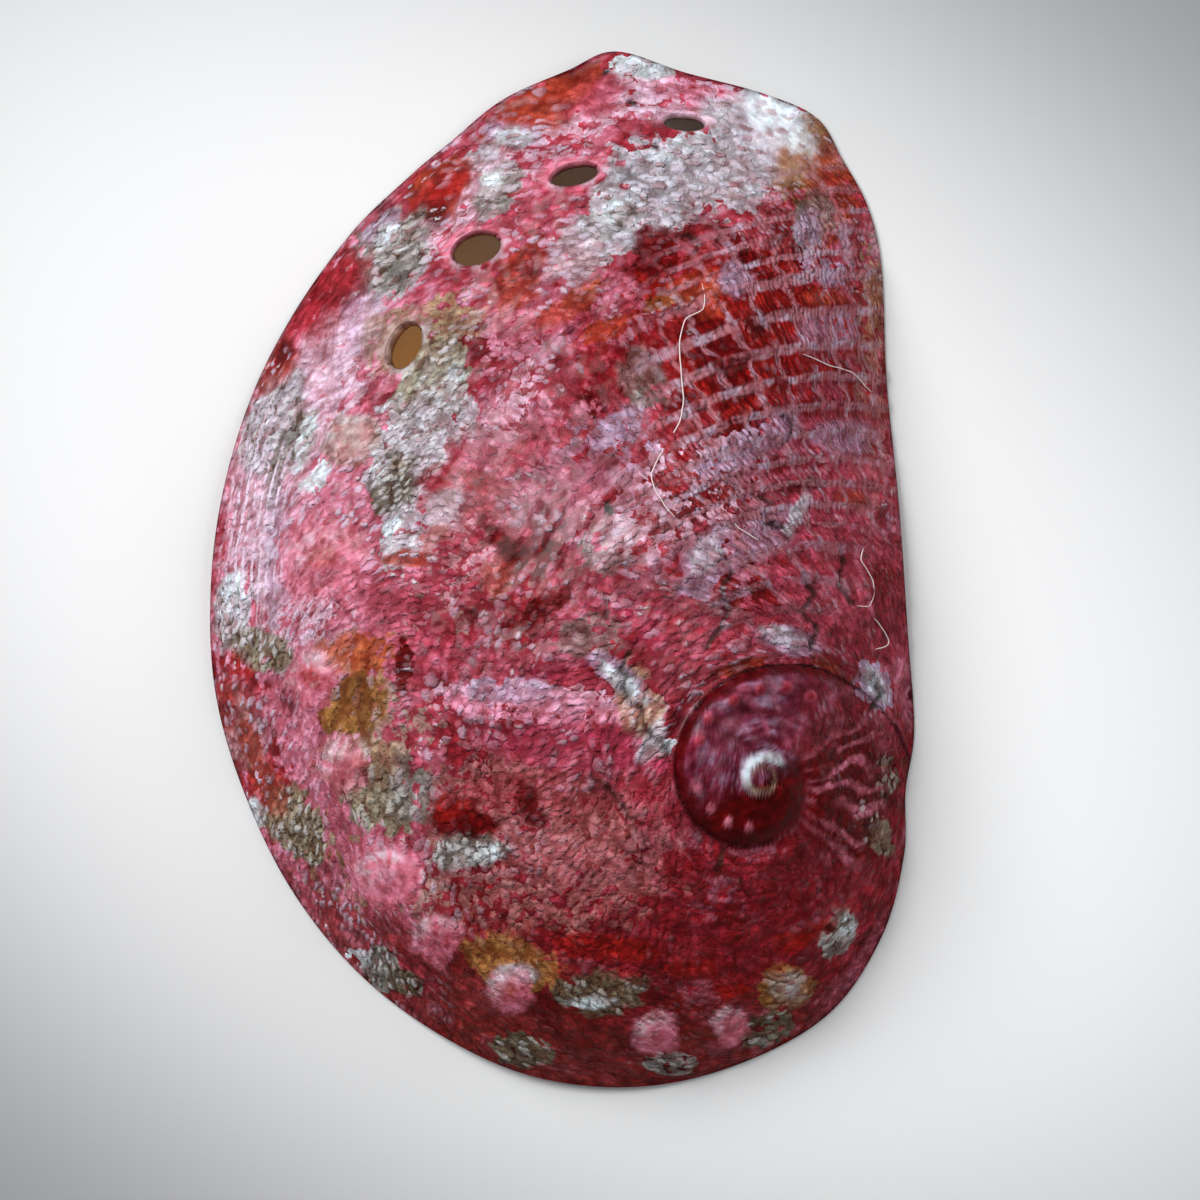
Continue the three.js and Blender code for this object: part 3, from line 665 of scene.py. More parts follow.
def painted(x, y, slopes):
    """The outside's colours at places seen from above: the ground, the colour laid over it, how much
    of the ground that covers, and the growths, pits, cords, bands and beads the relief follows."""
    _, spiral, grown = growth(x, y)
    spiral_slope, grown_slope = slopes
    bead_u = grown * 2.0 ** np.floor(level_of(grown_slope, 0.26) + 0.5)
    bead_v = spiral * 2.0 ** np.floor(level_of(spiral_slope, 0.36) + 0.5)
    bead = hashed(np.floor(bead_u + 0.5 * np.floor(bead_v)), np.floor(bead_v), 11)
    broad = fractal(grown / 16, spiral * 4.5, 21)
    cloud = fractal(x / 1.7, y / 1.7, 31)
    fine = fractal(x / 0.5, y / 0.5, 41)
    band = blended(grown, level_of(grown_slope, 1.1), lambda v: noise(v, 0 * v, 51))
    cord = blended(CORD_PACE * spiral, level_of(CORD_PACE * spiral_slope, CORD_GAP), ridge)

    # Plates between growth ridges and cords, each with a colour of its own.
    plate_u = grown * 2.0 ** np.floor(level_of(grown_slope, 0.9) + 0.5) + 0.3 * fine
    plate_v = spiral * 2.0 ** np.floor(level_of(spiral_slope, 0.74) + 0.5)
    row = np.floor(plate_v)
    column = plate_u + 0.5 * hashed(row, 0 * row, 15)
    plate = hashed(np.floor(column), row, 16)

    lattice = lattice_share(x, y)
    # The ground goes blush at the left and deep red round the lower right: partly the shell's own colour,
    # partly painted light on the lit side and painted shade on the other.
    depth_and_shade = depth_and_shade_share(x, y)
    left = smooth((-3.6 - x) / 2.5) * smooth((y + 13) / 8)
    ground = mix(np.tile(TONES["rose"], (len(x), 1)), "blush", left)
    for name, share in (
        ("crimson", (1 - 0.5 * left) * smooth(0.3 + 1.1 * broad)),
        ("deep", 0.85 * depth_and_shade),
        ("pink", (0.7 - 0.6 * depth_and_shade) * smooth(cloud * 1.7 + fine * 0.7 - 0.12)),
        ("lavender", (0.5 - 0.3 * depth_and_shade) * smooth(fine * 1.7 + 0.7 * band - 0.4)),
        ("dark red", 0.6 * smooth((plate - 0.8) / 0.05) * smooth(0.6 - cloud)),
        ("pink", (0.5 - 0.25 * depth_and_shade) * smooth((0.16 - plate) / 0.05)),
        ("red", 0.75 * lattice * smooth((plate - 0.45) / 0.04)),
        ("dark red", 0.8 * lattice * smooth((plate - 0.66) / 0.04)),
        ("brick", 0.5 * lattice * smooth((0.2 - np.abs(plate - 0.2)) / 0.1)),
        ("russet", 0.6 * smooth((-9.5 - y - 0.25 * x) / 3) * smooth(0.8 + cloud)),
    ):
        ground = mix(ground, name, share)
    crust, cover, laid = np.zeros(len(x)), np.zeros(len(x)), ground
    ragged = 0.42 * fractal(x / 0.95, y / 0.95, 61) + 0.2 * noise(x / 0.3, y / 0.3, 66) + 0.2 * (bead - 0.5)

    def lay(name, share):
        nonlocal cover, laid
        covered = cover + (1 - cover) * share
        laid = mix(laid, name, share / np.maximum(covered, 1e-6))
        cover = covered

    for name, cx, cy, half_length, half_width, tilt, strength, *growths in PATCHES:
        ratio, _ = oval_radius(x, y, (cx, cy, tilt, half_length, half_width))
        share = strength * smooth((1.25 - ratio - ragged * min(1.0, half_width * 1.4)) / 0.45)
        lay(name, share)
        crust = crust * (1 - share) + sum(growths) * share

    crumbled = 0.34 * noise(x / 0.32, y / 0.32, 67) + 0.2 * (bead - 0.5)
    for name, cx, cy, half_length, half_width, tilt, strength in ACCENTS:
        ratio, _ = oval_radius(x, y, (cx, cy, tilt, half_length, half_width))
        lay(name, strength * smooth((1.25 - ratio - crumbled) / 0.45))

    side = smooth(1.7 - oval_radius(x, y, (-8.7, 1.6, 84, 2.6, 0.75))[0])
    streaked = 0.9 * side * smooth(0.75 + 1.4 * cloud)
    dim = (1 + 0.3 * (bead - 0.5) + 0.2 * band + 0.22 * fine + 0.16 * cloud)[:, None]
    ground, laid = ground * dim, laid * dim
    pitted = crust * smooth(-fractal(x / 0.33, y / 0.33, 81) * 2.2 - 0.35)
    ground, laid = (mix(colour, "soot", 0.85 * pitted) for colour in (ground, laid))
    return ground, laid, cover, streaked, crust, pitted, cord, band, bead


# The look of each knob: (turn, ring tone, middle tone, strength, spread). Younger ones are worn away.
KNOB_LOOKS = [
    (441, "tan", "pale", 0.7, 1.0), (456, "knob pink", "rose", 0.85, 1.0),
    (472, "knob pink", "rose", 0.9, 1.1), (500, "knob pink", "brick", 0.9, 1.0),
    (514, "knob pink", "rose", 0.85, 1.0), (526, "knob pink", "blush", 1.0, 1.35),
    (542, "knob pink", "rose", 0.7, 1.1), (553, "knob pink", "red", 0.9, 1.05),
    (567, "knob pink", "brick", 0.7, 1.6), (580, "clay", "clay", 0.8, 1.0),
]


def knobs_coloured(x, y, colour):
    """Pale pink rings round a rosy middle, with a painted white highlight on each knob's front left and
    streaked across its middle.
    """
    radii = dict(KNOBS)
    for turn, ring, heart, strength, spread in KNOB_LOOKS:
        kx, ky = row_place(turn, radii[turn])
        size = knob_size(turn)
        d = np.hypot(x - kx, y - ky) / size
        way = np.degrees(np.arctan2(y - ky, x - kx))
        d = d + 0.3 * noise(x * 1.6, y * 1.6, 91) + 0.16 * noise(x * 4.5, y * 4.5, 92)
        rays = 0.5 + noise(way / 16, d * 0.8 + turn, 94)
        # painted highlight: white on the side of each knob that faces the light, and streaked across its
        # middle
        lit = smooth(0.35 + 0.65 * np.cos(np.radians(way - 125)))
        colour = mix(colour, ring, strength * smooth((1.3 * spread - d) / 0.35))
        colour = mix(colour, heart, 0.9 * strength * smooth((0.6 - d) / 0.25))
        colour = mix(colour, "crimson", 0.5 * strength * bump(d - 0.62, 0.12) * smooth(1.2 - rays))
        painted_highlight = bump(d - 0.85, 0.3) * lit + 0.5 * bump(d - 0.2, 0.16) * smooth(rays)
        colour = mix(colour, "white", 0.55 * strength * painted_highlight * smooth(0.3 + rays))
    for oval, lip in zip(OUTER_OVALS, ("milk", "knob pink", "knob pink", "clay")):
        ratio, angle = oval_radius(x, y, oval)
        margin_side = smooth(np.sin(angle) + 0.55)
        ragged = 0.6 * noise(x * 2.5, y * 2.5, 93)
        colour = mix(colour, lip, 0.85 * smooth((1.75 + ragged - ratio) / 0.6) * margin_side)
        colour = mix(colour, "pale", 0.55 * smooth((1.15 + ragged - ratio) / 0.2) * (1 - margin_side))
    return colour


def knob_share(x, y):
    """1 on the knobs that stand out, to 0 off them."""
    radii = dict(KNOBS)
    share = np.zeros(len(x))
    for turn, _, _, strength, spread in KNOB_LOOKS:
        d = from_row(x, y, turn, radii[turn]) / knob_size(turn)
        share = np.maximum(share, strength * smooth((1.1 * spread - d) / 0.5))
    return share


# ---- the shell's mesh

# The open holes seen from above, as ovals (x, y, tilt, half length, half width): the lip at the
# surface and the narrow throat inside it. Their middles are 0.1 to 0.3 mm from the CAD's.
OUTER_OVALS = [(3.5, 12.87, -4, 0.66, 0.29), (0.35, 11.31, 13, 0.76, 0.37), (-2.45, 9.18, 18, 0.78, 0.51),
               (-4.5, 6.38, 64, 0.76, 0.5)]
THROATS = [(3.52, 12.82, -4, 0.57, 0.17), (0.37, 11.26, 13, 0.66, 0.25), (-2.43, 9.14, 18, 0.68, 0.41),
           (-4.42, 6.34, 64, 0.67, 0.35)]
MOUTH_GROWTH = 0.14
# Rings from the lip to the throat: share of the way inwards, share of the way down, brownness.
HOLE_RINGS = [(0.3, 0.06, 0.1), (0.75, 0.28, 0.45), (1.0, 0.6, 1.0)]
# Rings from the margin's edge to the foot of the inner surface: inset and height over the lift.
RIM_RINGS = [(0.02, 0.03), (0.09, 0.0), (0.42, 0.0)]
EDGE_ROUND = 0.1


# A smooth chalky place by the front lip: (x, y, tilt, half length, half width).
CHALK = (6.3, 12.6, -40, 1.8, 0.9)


def slopes_of(height, x, y):
    step = 0.02
    hx = (height(x + step, y) - height(x - step, y)) / (2 * step)
    hy = (height(x, y + step) - height(x, y - step)) / (2 * step)
    return hx, hy


def lifted(x, y, z, hx, hy, amount):
    """Points moved along the surface's normal."""
    size = np.sqrt(1 + hx * hx + hy * hy)
    return np.stack([x - hx / size * amount, y - hy / size * amount, z + amount / size], axis=1)


FIELDS = ("cover", "chalky", "streaked", "crust", "beaded", "dust", "ordered", "grown", "spiral",
          "grown_level", "spiral_level")


class Assembly:
    """Vertices, faces and vertex attributes gathered part by part."""

    def __init__(self):
        self.points, self.faces, self.slots, self.count = [], [], [], 0
        self.tint, self.laid, self.fields = [], [], {name: [] for name in FIELDS}

    def add(self, points, tint, laid=None, **fields):
        first = self.count
        self.points.append(points)
        self.tint.append(tint)
        self.laid.append(tint if laid is None else laid)
        for name, values in self.fields.items():
            values.append(np.broadcast_to(fields.get(name, 0.0), (len(points),)))
        self.count += len(points)
        return first

    def face(self, rows, slot):
        self.faces.extend(np.asarray(rows).tolist())
        self.slots.extend([slot] * len(rows))

    def strip(self, a, b, slot):
        """Quads between two closed loops of the same length."""
        self.face(np.stack([a, np.roll(a, -1), np.roll(b, -1), b], axis=1), slot)

    def zip(self, a, b, slot):
        """Triangles between two closed loops of different lengths, both starting at the same side."""
        i = j = 0
        rows = []
        while i < len(a) or j < len(b):
            if j == len(b) or (i < len(a) and (i + 1) / len(a) <= (j + 1) / len(b)):
                rows.append((a[i % len(a)], a[(i + 1) % len(a)], b[j % len(b)]))
                i += 1
            else:
                rows.append((a[i % len(a)], b[(j + 1) % len(b)], b[j % len(b)]))
                j += 1
        self.face(rows, slot)


def from_side(loop, x, y, oval):
    """The same loop, started where the oval's own angle is least."""
    _, angle = oval_radius(x[loop], y[loop], oval)
    return np.roll(loop, -int(np.argmin(angle % (2 * math.pi))))


def nacre_colour(x, y):
    return mix(np.tile(TONES["pale"], (len(x), 1)), "white", smooth(0.5 + fractal(x / 3, y / 3, 101)))


def build_shell():
    made = Assembly()
    x, y = placed(OUTER_CELLS, edge_radius)
    quads, lips = opened(x, y, grid_quads(OUTER_CELLS), OUTER_OVALS)
    hx, hy = slopes_of(outer_height, x, y)
    slopes = gradients(x, y, hx, hy)
    ground, laid, cover, streaked, crust, pitted, cord, band, bead = painted(x, y, slopes)
    jag_x, jag_y = x + 0.09 * noise(x * 4, y * 4, 97), y + 0.09 * noise(x * 4, y * 4, 98)
    crack = np.zeros(len(x))
    for line in CRACKS:
        crack = np.maximum(crack, smooth((0.11 - near_line(jag_x, jag_y, line)) / 0.07))
    crack = crack * smooth(0.9 + 0.8 * noise(x * 2, y * 2, 99))

    def finished(colour):
        """A colour of the outside with the knobs, the spire, the pits and the cracks over it."""
        colour = spire_colour(x, y, knobs_coloured(x, y, colour))
        for px, py, size in PITS:
            from_pit = np.hypot(x - px, y - py) / size
            ragged = 0.4 * noise(x * 6, y * 6, 96)
            colour = mix(colour, TONES["soot"] * 0.5, smooth((1.1 - from_pit + ragged) / 0.4))
        return mix(colour, "soot", 0.8 * crack)

    ground, laid = finished(ground), finished(laid)
    off_knobs = 1 - knob_share(x, y)

    r, degrees = polar(x, y)
    share = r / edge_radius(degrees)
    lip = np.ones(len(x))
    for oval in OUTER_OVALS:
        lip = np.minimum(lip, smooth((oval_radius(x, y, oval)[0] - 1.05) / 0.5))
    tip_r, _ = round_apex(x, y)
    # Painted shade: the outermost edge of the margin is darkened, as a thin edge shadow.
    ground, laid = (mix(colour, colour * 0.6, smooth((share - 0.99) / 0.01)) for colour in (ground, laid))
    colour = mix(ground, laid, cover)
    chalky = smooth((colour.min(axis=1) / colour.max(axis=1) - 0.4) / 0.35)
    calm = smooth((1 - share) / 0.015) * lip * (0.25 + 0.75 * smooth((tip_r - 1.5) / 2.5))
    lattice = lattice_share(x, y)
    relief = (0.05 + 0.09 * lattice) * (cord - 0.5) * (1 - 0.6 * crust) + (0.05 + 0.04 * lattice) * band
    relief = relief + 0.08 * noise(x / 1.5, y / 1.5, 111)
    relief = relief + 0.04 * noise(x / 0.45, y / 0.45, 112) + 0.03 * (bead - 0.5)
    relief = relief + crust * (0.05 + 0.09 * fractal(x / 0.42, y / 0.42, 113)) - 0.07 * pitted - 0.06 * crack
    z = outer_height(x, y) + EDGE_ROUND * np.minimum(share, 1) ** 60
    outer = lifted(x, y, z, hx, hy, relief * calm)
    _, spiral, grown = growth(x, y)
    beaded = (0.3 + 0.7 * off_knobs) * (1 - disc_share(x, y)) * (0.2 + 0.8 * lip)
    beaded = beaded * smooth((tip_r - 1.4) / 0.8) * (1 - 0.7 * smooth(1.5 - oval_radius(x, y, CHALK)[0]))
    period = CHIP_GAP + (THREAD_GAP - CHIP_GAP) * lattice
    # Where milky chips lie, painted glints show and the coat shines: less round the lower right, on the
    # knobs and in the lattice.
    dust = (1 - 0.9 * depth_and_shade_share(x, y) ** 1.5) * (0.35 + 0.65 * off_knobs) * (1 - 0.5 * lattice)
    dust = dust * smooth(0.55 + 1.2 * fractal(x / 2.6, y / 2.6, 115))
    first = made.add(outer, ground, laid, cover=cover, chalky=chalky, streaked=streaked, crust=crust,
                     beaded=beaded, dust=dust, ordered=lattice, grown=grown, spiral=spiral,
                     grown_level=level_of(slopes[1], period), spiral_level=level_of(slopes[0], CHIP_ROW))
    made.face(quads + first, 0)

    ix, iy = placed(INNER_CELLS, inner_reach)
    mouths = [(cx, cy, tilt, a + MOUTH_GROWTH, b + MOUTH_GROWTH) for cx, cy, tilt, a, b in THROATS]
    inner_quads, inner_lips = opened(ix, iy, grid_quads(INNER_CELLS), mouths)
    inner = np.stack([ix, iy, inner_height(ix, iy)], axis=1)
    under = made.add(inner, nacre_colour(ix, iy))
    made.face((inner_quads + under)[:, ::-1], 1)

    for oval, throat, mouth, edge, inner_edge in zip(OUTER_OVALS, THROATS, mouths, lips, inner_lips):
        edge = from_side(edge, x, y, oval)
        inner_edge = from_side(inner_edge, ix, iy, mouth)
        _, angle = oval_radius(x[edge], y[edge], oval)
        tx, ty = oval_point(throat, angle)
        foot = inner_height(tx, ty)
        ring = edge + first
        for inwards, down, brown in HOLE_RINGS:
            px = x[edge] + (tx - x[edge]) * inwards
            py = y[edge] + (ty - y[edge]) * inwards
            pz = outer[edge, 2] + (foot - outer[edge, 2]) * down
            tint = mix(colour[edge], "hole brown", np.full(len(edge), brown))
            start = made.add(np.stack([px, py, pz], axis=1), tint)
            following = start + np.arange(len(edge))
            made.strip(ring, following, 0)
            ring = following
        made.zip(ring, inner_edge + under, 0)

    edge = grid_loop(OUTER_CELLS)
    degrees = polar(x[edge], y[edge])[1]
    ring = edge + first
    for inset, height in RIM_RINGS:
        reach = edge_radius(degrees) - inset
        px, py = CROWN_X + reach * np.cos(np.radians(degrees)), CROWN_Y + reach * np.sin(np.radians(degrees))
        tint = mix(colour[edge], "pale", np.full(len(edge), min(1.0, inset * 2)))
        start = made.add(np.stack([px, py, rim_lift(degrees) + height], axis=1), tint)
        following = start + np.arange(len(edge))
        made.strip(ring, following, 0)
        ring = following
    foot = grid_loop(INNER_CELLS) + under
    after = np.roll(foot, -1)
    half, whole = ring[1::2], np.roll(ring[0::2], -1)
    made.face(np.stack([ring[0::2], half, foot], axis=1), 1)
    made.face(np.stack([half, after, foot], axis=1), 1)
    made.face(np.stack([half, whole, after], axis=1), 1)
    return made


def put(name, data, place=(0, 0, 0)):
    """A new object of the scene."""
    made = bpy.data.objects.new(name, data)
    made.location = place
    bpy.context.scene.collection.objects.link(made)
    return made


def mesh_object(name, made, materials):
    points = np.concatenate(made.points) * MM
    used = np.zeros(len(points), bool)
    for face in made.faces:
        used[face] = True
    order = np.cumsum(used) - 1
    mesh = bpy.data.meshes.new(name)
    mesh.from_pydata(points[used].tolist(), [], [[int(order[v]) for v in face] for face in made.faces])
    mesh.polygons.foreach_set("material_index", made.slots)
    mesh.polygons.foreach_set("use_smooth", [True] * len(made.faces))
    for name_of_colour, values in (("tint", made.tint), ("laid", made.laid)):
        rows = np.concatenate(values)[used]
        colours = mesh.attributes.new(name_of_colour, "FLOAT_COLOR", "POINT")
        rows = np.column_stack([rows, np.ones(len(rows))]).astype(np.float32)
        colours.data.foreach_set("color", rows.ravel())
    for field, values in made.fields.items():
        layer = mesh.attributes.new(field, "FLOAT", "POINT")
        layer.data.foreach_set("value", np.concatenate(values)[used].astype(np.float32))
    for material in materials:
        mesh.materials.append(material)
    mesh.update()
    return put(name, mesh)


# ---- materials


class Net:
    """Short calls for a material's nodes."""

    def __init__(self, name):
        self.material = bpy.data.materials.new(name)
        self.material.use_nodes = True
        self.tree = self.material.node_tree
        self.tree.nodes.clear()
        self.shader = self.node("ShaderNodeBsdfPrincipled")
        out = self.tree.nodes.new("ShaderNodeOutputMaterial")
        self.tree.links.new(self.shader.outputs[0], out.inputs["Surface"])
        self.place = self.node("ShaderNodeTexCoord").outputs["Object"]
        self.tinted = None

    def node(self, kind, inputs=None, **properties):
        made = self.tree.nodes.new(kind)
        for key, value in properties.items():
            setattr(made, key, value)
        for key, value in (inputs or {}).items():
            if isinstance(value, bpy.types.NodeSocket):
                self.tree.links.new(value, made.inputs[key])
            elif value is not None:
                made.inputs[key].default_value = value
        return made

    def math(self, operation, a, b=None, c=None):
        return self.node("ShaderNodeMath", {0: a, 1: b, 2: c}, operation=operation).outputs[0]

    def field(self, name, output="Fac"):
        made = self.node("ShaderNodeAttribute", attribute_name=name, attribute_type="GEOMETRY")
        return made.outputs[output]

    def ramp(self, value, low, high, to_low=0.0, to_high=1.0):
        inputs = {"Value": value, "From Min": low, "From Max": high, "To Min": to_low, "To Max": to_high}
        return self.node("ShaderNodeMapRange", inputs, interpolation_type="SMOOTHSTEP").outputs["Result"]

    def mix(self, factor, a, b, blend="MIX"):
        made = self.tree.nodes.new("ShaderNodeMix")
        made.data_type, made.blend_type = "RGBA", blend
        for key, value in ((0, factor), (6, a), (7, b)):
            if isinstance(value, bpy.types.NodeSocket):
                self.tree.links.new(value, made.inputs[key])
            else:
                made.inputs[key].default_value = value
        return made.outputs[2]

    def noise(self, scale, detail=2.0, vector=None, output="Fac"):
        inputs = {"Scale": scale, "Detail": detail, "Vector": self.place if vector is None else vector}
        return self.node("ShaderNodeTexNoise", inputs).outputs[output]

    def lay(self, share, colour, blend="MIX"):
        """Mixes a colour, or a socket's, over the colour made so far."""
        if not isinstance(colour, bpy.types.NodeSocket):
            colour = (*colour, 1)
        self.tinted = self.mix(share, self.tinted, colour, blend)

    def bump(self, height, distance, normal=None):
        inputs = {"Height": height, "Distance": distance, "Strength": 1.0, "Normal": normal}
        return self.node("ShaderNodeBump", inputs).outputs[0]

    def set(self, **values):
        for key, value in values.items():
            socket = self.shader.inputs[key.replace("_", " ")]
            if isinstance(value, bpy.types.NodeSocket):
                self.tree.links.new(value, socket)
            else:
                socket.default_value = value


# How many halvings coarser the cords, the growth ridges and the side's streaks are than the chips.
CORD_STEP, RIDGE_STEP = math.log2(CORD_GAP * CORD_PACE / CHIP_ROW), math.log2(RIDGE_GAP / THREAD_GAP)
STREAK_STEP = 0.26
# Depths of the relief in the material, in metres, and the last grade given to its colours.
CHIP_BUMP, GRAIN_BUMP = 0.00008, 0.00006
GRADE_GAMMA, GRADE_GAIN = 1.13, (1.15, 1.3, 1.26)


def outer_material():
    net = Net("shell_outside")
    tint, laid = (net.field(name, "Color") for name in ("tint", "laid"))
    ordered, beaded, crust, dust, chalky, cover = (
        net.field(name) for name in ("ordered", "beaded", "crust", "dust", "chalky", "cover"))

    def times(*factors):
        product = factors[0]
        for factor in factors[1:]:
            product = net.math("MULTIPLY", product, factor)
        return product

    def halved(name, coarser=0.0):
        """A growth coordinate scaled by a power of two, so that it steps evenly over the surface."""
        level = net.math("FLOOR", net.math("ADD", net.field(name + "_level"), 0.5 - coarser))
        return times(net.field(name), net.math("POWER", 2.0, level))

    def wave(value):
        return net.math("COSINE", times(value, 2 * math.pi))

    grain = net.noise(9000, 3.0)
    bits = net.noise(3600, 4.0)
    blotch = net.noise(1900, 4.0)
    drift = net.noise(1100, 3.0)
    loose = net.ramp(ordered, 0.0, 1.0, 1.4, 0.35)
    u = net.math("MULTIPLY_ADD", net.noise(1500, 3.0), loose, halved("grown"))
    v = net.math("MULTIPLY_ADD", net.noise(1700, 3.0), loose, halved("spiral"))
    u, v = net.math("MULTIPLY_ADD", bits, 0.7, u), net.math("MULTIPLY_ADD", grain, 0.5, v)
    cell = net.node("ShaderNodeCombineXYZ", {0: u, 1: v}).outputs[0]
    chips = {"Vector": cell, "Scale": 1.0, "Randomness": 0.85}
    chip = net.node("ShaderNodeTexVoronoi", chips, voronoi_dimensions="2D", feature="F1")
    chance = net.node("ShaderNodeSeparateColor", {0: chip.outputs["Color"]}).outputs
    raised = times(net.ramp(chip.outputs["Distance"], 0.6, 0.12), beaded)
    groove = times(net.ramp(chip.outputs["Distance"], 0.36, 0.66), beaded)

    # What is laid over the ground breaks up chip by chip at its edges.
    spread = net.math("MULTIPLY_ADD", chance[2], 0.45, net.ramp(bits, 0.36, 0.64, 0.04, 0.5))
    net.tinted = net.mix(net.ramp(net.math("SUBTRACT", cover, spread), -0.08, 0.1), tint, laid)

    # Marbled ground, darker and redder chips, then the milky chips that lie over it.
    net.lay(net.ramp(blotch, 0.55, 0.35, 0.0, 0.5), (0.55, 0.3, 0.28), "MULTIPLY")
    net.lay(net.ramp(bits, 0.5, 0.36, 0.0, 0.45), (0.5, 0.3, 0.3), "MULTIPLY")
    net.lay(net.ramp(bits, 0.5, 0.64, 0.0, 0.5), (0.95, 0.9, 0.92), "SOFT_LIGHT")
    net.lay(net.ramp(blotch, 0.5, 0.72, 0.0, 0.6), (0.92, 0.74, 0.8), "SOFT_LIGHT")
    darker = times(net.ramp(chance[1], 0.6, 0.95, 0.0, 0.7), net.ramp(raised, 0.0, 0.4))
    net.lay(darker, (0.5, 0.2, 0.18), "MULTIPLY")
    # milky chips lie in drifts of about a millimetre
    milky = times(net.ramp(chance[0], 0.3, 1.0), net.ramp(net.noise(800, 3.0), 0.38, 0.6), dust,
                  net.ramp(raised, 0.0, 0.55, 0.0, 0.9))
    net.lay(milky, (0.6, 0.44, 0.56))
    # Painted shade: the grooves between chips are darkened, redder between red chips and greyer between pale
    # ones; then darker seams, strongest in the crust.
    crevice_shade = net.mix(chalky, (0.6, 0.34, 0.34, 1), (0.5, 0.46, 0.42, 1))
    net.lay(net.ramp(groove, 0.0, 1.0, 0.0, 0.6), crevice_shade, "MULTIPLY")
    deep = times(groove, net.ramp(bits, 0.44, 0.6), net.ramp(crust, 0.0, 0.45, 0.2, 0.95))
    net.lay(deep, (0.25, 0.16, 0.12), "MULTIPLY")
    lime = times(net.ramp(chance[0], 0.45, 0.95, 0.0, 0.75), net.ramp(crust, 0.1, 0.6),
                 net.ramp(raised, 0.0, 0.5))
    net.lay(lime, (0.6, 0.52, 0.52))

    # The lattice: pale cords and growth ridges, crossed by fine threads; streaks along the left side.
    along = times(halved("spiral", CORD_STEP), CORD_PACE)
    cords = net.ramp(wave(net.math("MULTIPLY_ADD", drift, 0.4, along)), 0.35, 0.9)
    across = halved("grown", RIDGE_STEP)
    ridges = net.ramp(wave(net.math("MULTIPLY_ADD", drift, 0.9, across)), 0.65, 0.98, 0.0, 0.9)
    bars = times(net.math("MAXIMUM", cords, ridges), ordered, net.ramp(drift, 0.34, 0.5),
                 net.ramp(bits, 0.3, 0.5, 0.5, 1.0), net.ramp(crust, 0.0, 0.4, 1.0, 0.0))
    wire = net.mix(net.ramp(blotch, 0.47, 0.63), (0.52, 0.2, 0.24, 1), (0.58, 0.42, 0.54, 1))
    net.lay(times(bars, 0.82), wire)
    lines = wave(net.math("MULTIPLY_ADD", drift, 0.5, halved("spiral", STREAK_STEP)))
    streaks = times(net.ramp(lines, 0.35, 0.8), net.field("streaked"), net.ramp(bits, 0.36, 0.5))
    net.lay(streaks, (0.82, 0.6, 0.74))
    threads = times(net.ramp(wave(u), 0.3, -0.6), ordered, net.ramp(bits, 0.35, 0.6))
    net.lay(times(threads, 0.7), (0.5, 0.28, 0.28), "MULTIPLY")

    # Painted glints: pale flecks on the tops of a few raised chips.
    glint = times(net.ramp(chance[2], 0.86, 0.99, 0.0, 0.7), net.ramp(raised, 0.4, 1.0), dust,
                  net.ramp(grain, 0.4, 0.6))
    net.lay(glint, (0.78, 0.72, 0.8))
    net.tinted = net.node("ShaderNodeGamma", {"Color": net.tinted, "Gamma": GRADE_GAMMA}).outputs[0]
    net.lay(1.0, GRADE_GAIN, "MULTIPLY")
    rough = net.math("MULTIPLY_ADD", crust, 0.3, net.ramp(bits, 0.3, 0.7, 0.3, 0.55))

    low = net.bump(times(raised, net.ramp(crust, 0.0, 0.8, 0.75, 1.3)), CHIP_BUMP)
    gritty = times(net.math("ADD", grain, bits), net.ramp(beaded, 0.0, 1.0, 0.3, 1.0))
    normal = net.bump(gritty, GRAIN_BUMP, low)
    facing = net.node("ShaderNodeLayerWeight", {"Blend": 0.5}).outputs["Facing"]
    net.set(Base_Color=net.tinted, Roughness=rough, Normal=normal, Specular_IOR_Level=0.02,
            Coat_Weight=times(net.ramp(facing, 0.15, 0.6, 0.4, 0.0), net.ramp(dust, 0.1, 0.7, 0.35, 1.0)),
            Coat_Roughness=0.22)
    return net.material


def nacre_material():
    net = Net("shell_nacre")
    net.tinted = net.field("tint", "Color")
    warp = net.noise(160, 3.0, output="Color")
    bands = net.noise(260, 2.0, net.mix(0.02, net.place, warp, "ADD"))
    net.lay(net.ramp(bands, 0.42, 0.6, 0.0, 0.45), (0.5, 0.78, 0.7))
    net.lay(net.ramp(bands, 0.5, 0.36, 0.0, 0.45), (0.8, 0.5, 0.62))
    net.lay(net.ramp(net.noise(420, 2.0), 0.52, 0.66, 0.0, 0.35), (0.5, 0.6, 0.86))
    rough = net.ramp(net.noise(900, 2.0), 0.3, 0.7, 0.14, 0.3)
    net.set(Base_Color=net.tinted, Roughness=rough, Normal=net.bump(net.noise(700, 3.0), 0.00005),
            Coat_Weight=0.5, Coat_Roughness=0.1, Metallic=0.15)
    return net.material


def lint_material():
    net = Net("lint")
    tinted = net.mix(net.noise(2500, 2.0), (0.85, 0.64, 0.62, 1), (0.95, 0.86, 0.84, 1))
    net.set(Base_Color=tinted, Roughness=0.7)
    return net.material


POOL_TILT, POOL_LENGTH, POOL_WIDTH = -30, 0.033, 0.0205


def floor_material():
    """Pale paper with a soft painted pool of light that falls off towards two corners."""
    net = Net("floor")
    turned = net.node("ShaderNodeMapping", {"Vector": net.place, "Rotation": (0, 0, math.radians(POOL_TILT)),
                      "Scale": (POOL_LENGTH, POOL_WIDTH, 1)}, vector_type="TEXTURE").outputs[0]
    away = net.node("ShaderNodeVectorMath", {0: turned}, operation="LENGTH").outputs["Value"]
    tinted = net.mix(net.ramp(away, 0.42, 1.28), (0.9, 0.9, 0.89, 1), (0.3, 0.3, 0.3, 1))
    net.set(Base_Color=tinted, Roughness=0.85, Specular_IOR_Level=0.1)
    return net.material


# ---- lint

